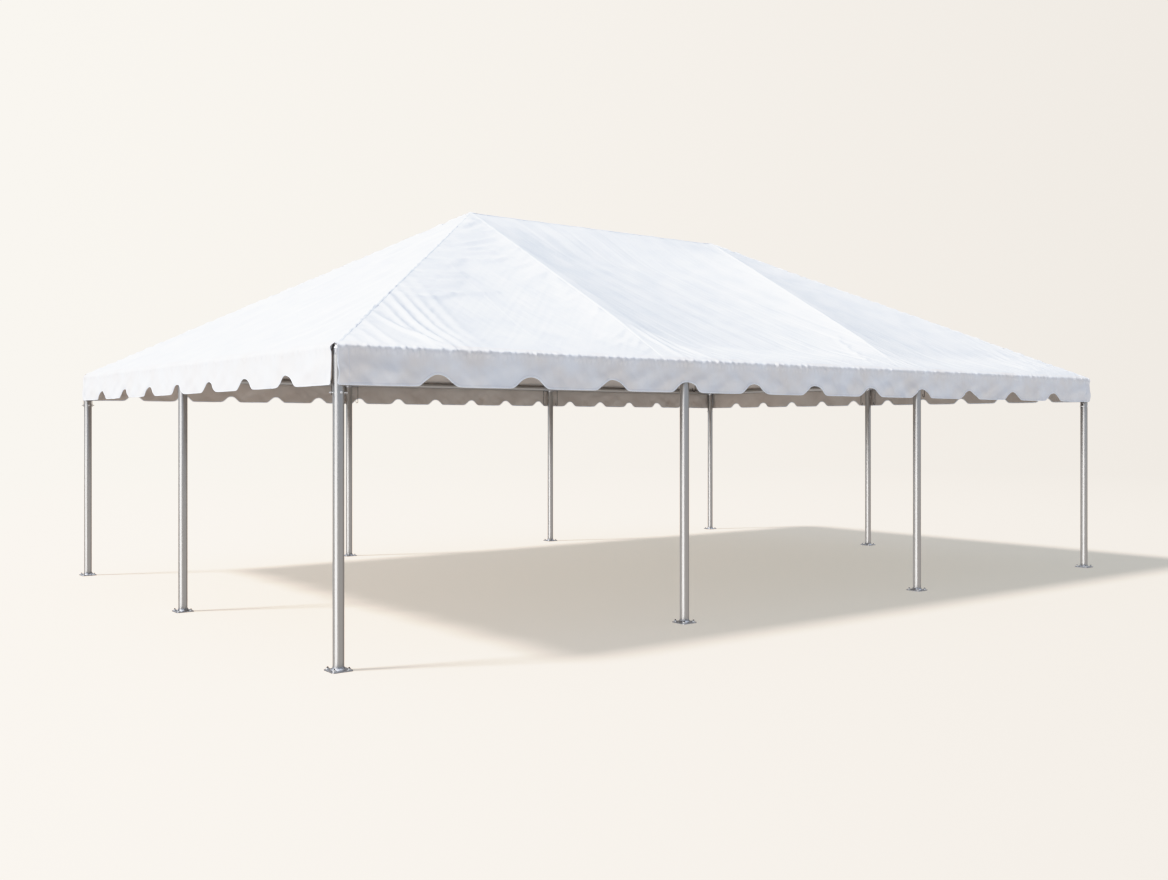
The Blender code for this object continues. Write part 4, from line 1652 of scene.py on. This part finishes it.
def make_floor_material():
    """Matt studio floor: partly its own light, so that shadows stay pale, and all of it far off."""
    material = bpy.data.materials.new("studio floor")
    material.use_nodes = True
    tree = material.node_tree
    tree.nodes.clear()
    sun = np.array(KEY_COLOUR) * KEY_STRENGTH * math.sin(KEY_ELEVATION) / math.pi
    lit = np.array(FLOOR_MATT[:3]) * (sun + np.array(SKY[:3]))
    place = add_node(tree, "ShaderNodeTexCoord").outputs["Object"]
    away = add_node(tree, "ShaderNodeVectorMath", {0: place}, operation="LENGTH").outputs["Value"]
    far = {"Value": away, "From Min": FLOOR_BLEND[0], "From Max": FLOOR_BLEND[1]}
    far = add_node(tree, "ShaderNodeMapRange", far).outputs["Result"]
    seen_from = {0: place, 1: CAMERA_PLACE}
    seen = add_node(tree, "ShaderNodeVectorMath", seen_from, operation="SUBTRACT").outputs[0]
    near_colours = (shown(FLOOR_LEFT) - lit, shown(FLOOR_RIGHT) - lit)
    near_look = across_picture(tree, seen, *near_colours, FLOOR_SOFTNESS)
    far_look = across_picture(tree, seen, shown(BACKDROP_LEFT), shown(BACKDROP_RIGHT))
    near_glow = add_glow(tree, FLOOR_GLOW, near_look)
    far_glow = add_glow(tree, opaque(lit + np.array(FLOOR_GLOW[:3])), far_look)
    matt = add_node(tree, "ShaderNodeBsdfDiffuse", {"Color": FLOOR_MATT})
    near = add_node(tree, "ShaderNodeAddShader", {0: near_glow, 1: matt.outputs[0]})
    surface = {0: far, 1: near.outputs[0], 2: far_glow}
    surface = add_node(tree, "ShaderNodeMixShader", surface).outputs[0]
    add_node(tree, "ShaderNodeOutputMaterial", {"Surface": surface})
    return material


deselect()
bpy.ops.mesh.primitive_circle_add(vertices=96, radius=FLOOR_RADIUS, fill_type="NGON")
floor = bpy.context.object
floor.name = "studio_floor"
painted(floor, make_floor_material())
floor.visible_glossy = False


def nearness(tree, direction, heading):
    """The cosine of the angle between a direction, taken level, and a heading."""
    level = {0: direction, 1: LEVEL}
    level = add_node(tree, "ShaderNodeVectorMath", level, operation="MULTIPLY").outputs[0]
    level = add_node(tree, "ShaderNodeVectorMath", {0: level}, operation="NORMALIZE").outputs[0]
    middle = {0: level, 1: (math.cos(heading), math.sin(heading), 0.0)}
    return add_node(tree, "ShaderNodeVectorMath", middle, operation="DOT_PRODUCT").outputs["Value"]


def make_air():
    """All round the tent: the backdrop that is seen, what gloss mirrors, and an even sky light."""
    world = bpy.data.worlds.new("studio")
    world.use_nodes = True
    tree = world.node_tree
    direction = add_node(tree, "ShaderNodeTexCoord").outputs["Generated"]
    height = add_node(tree, "ShaderNodeSeparateXYZ", {0: direction}).outputs["Z"]
    layers = [
        (height, HORIZON_BLEND, MIRRORED_HIGH),
        (nearness(tree, direction, DULL_HEADING), DULL_EDGE, DULL),
        (nearness(tree, direction, BAND_HEADING), BAND_EDGE, BAND),
        (height, ABOVE_BLEND, MIRRORED_ABOVE),
        (height, SHEEN_BLEND, SHEEN),
    ]
    mirrored = MIRRORED_LOW
    for value, (start, end), colour in layers:
        cover = {"Value": value, "From Min": start, "From Max": end}
        cover = add_node(tree, "ShaderNodeMapRange", cover).outputs["Result"]
        layer = {0: cover, 6: mirrored, 7: colour}
        mirrored = add_node(tree, "ShaderNodeMix", layer, data_type="RGBA").outputs[2]
    ray = add_node(tree, "ShaderNodeLightPath").outputs
    around = {0: ray["Is Glossy Ray"], 6: SKY, 7: mirrored}
    around = add_node(tree, "ShaderNodeMix", around, data_type="RGBA").outputs[2]
    backdrop = across_picture(tree, direction, shown(BACKDROP_LEFT), shown(BACKDROP_RIGHT))
    looks = {0: ray["Is Camera Ray"], 6: around, 7: backdrop}
    looks = add_node(tree, "ShaderNodeMix", looks, data_type="RGBA").outputs[2]
    tree.links.new(looks, tree.nodes["Background"].inputs["Color"])
    return world


bpy.context.scene.world = make_air()

key = bpy.data.lights.new("key", "SUN")
key.energy = KEY_STRENGTH
key.angle = KEY_SPREAD
key.color = KEY_COLOUR
key_lamp = bpy.data.objects.new("key", key)
bpy.context.scene.collection.objects.link(key_lamp)
toward_key = Vector((
    math.cos(KEY_ELEVATION) * math.cos(KEY_HEADING),
    math.cos(KEY_ELEVATION) * math.sin(KEY_HEADING),
    math.sin(KEY_ELEVATION),
))
key_lamp.rotation_euler = toward_key.to_track_quat("Z", "Y").to_euler()

camera = bpy.data.cameras.new("view")
camera.lens = CAMERA_LENS
camera.sensor_width = SENSOR_WIDTH
camera.shift_y = -(IMAGE_HEIGHT / 2 - HORIZON_ROW) / IMAGE_WIDTH
camera.clip_end = 1000.0
viewpoint = bpy.data.objects.new("view", camera)
viewpoint.location = CAMERA_PLACE
viewpoint.rotation_euler = (math.pi / 2, 0.0, -CAMERA_YAW)
bpy.context.scene.collection.objects.link(viewpoint)
bpy.context.scene.camera = viewpoint
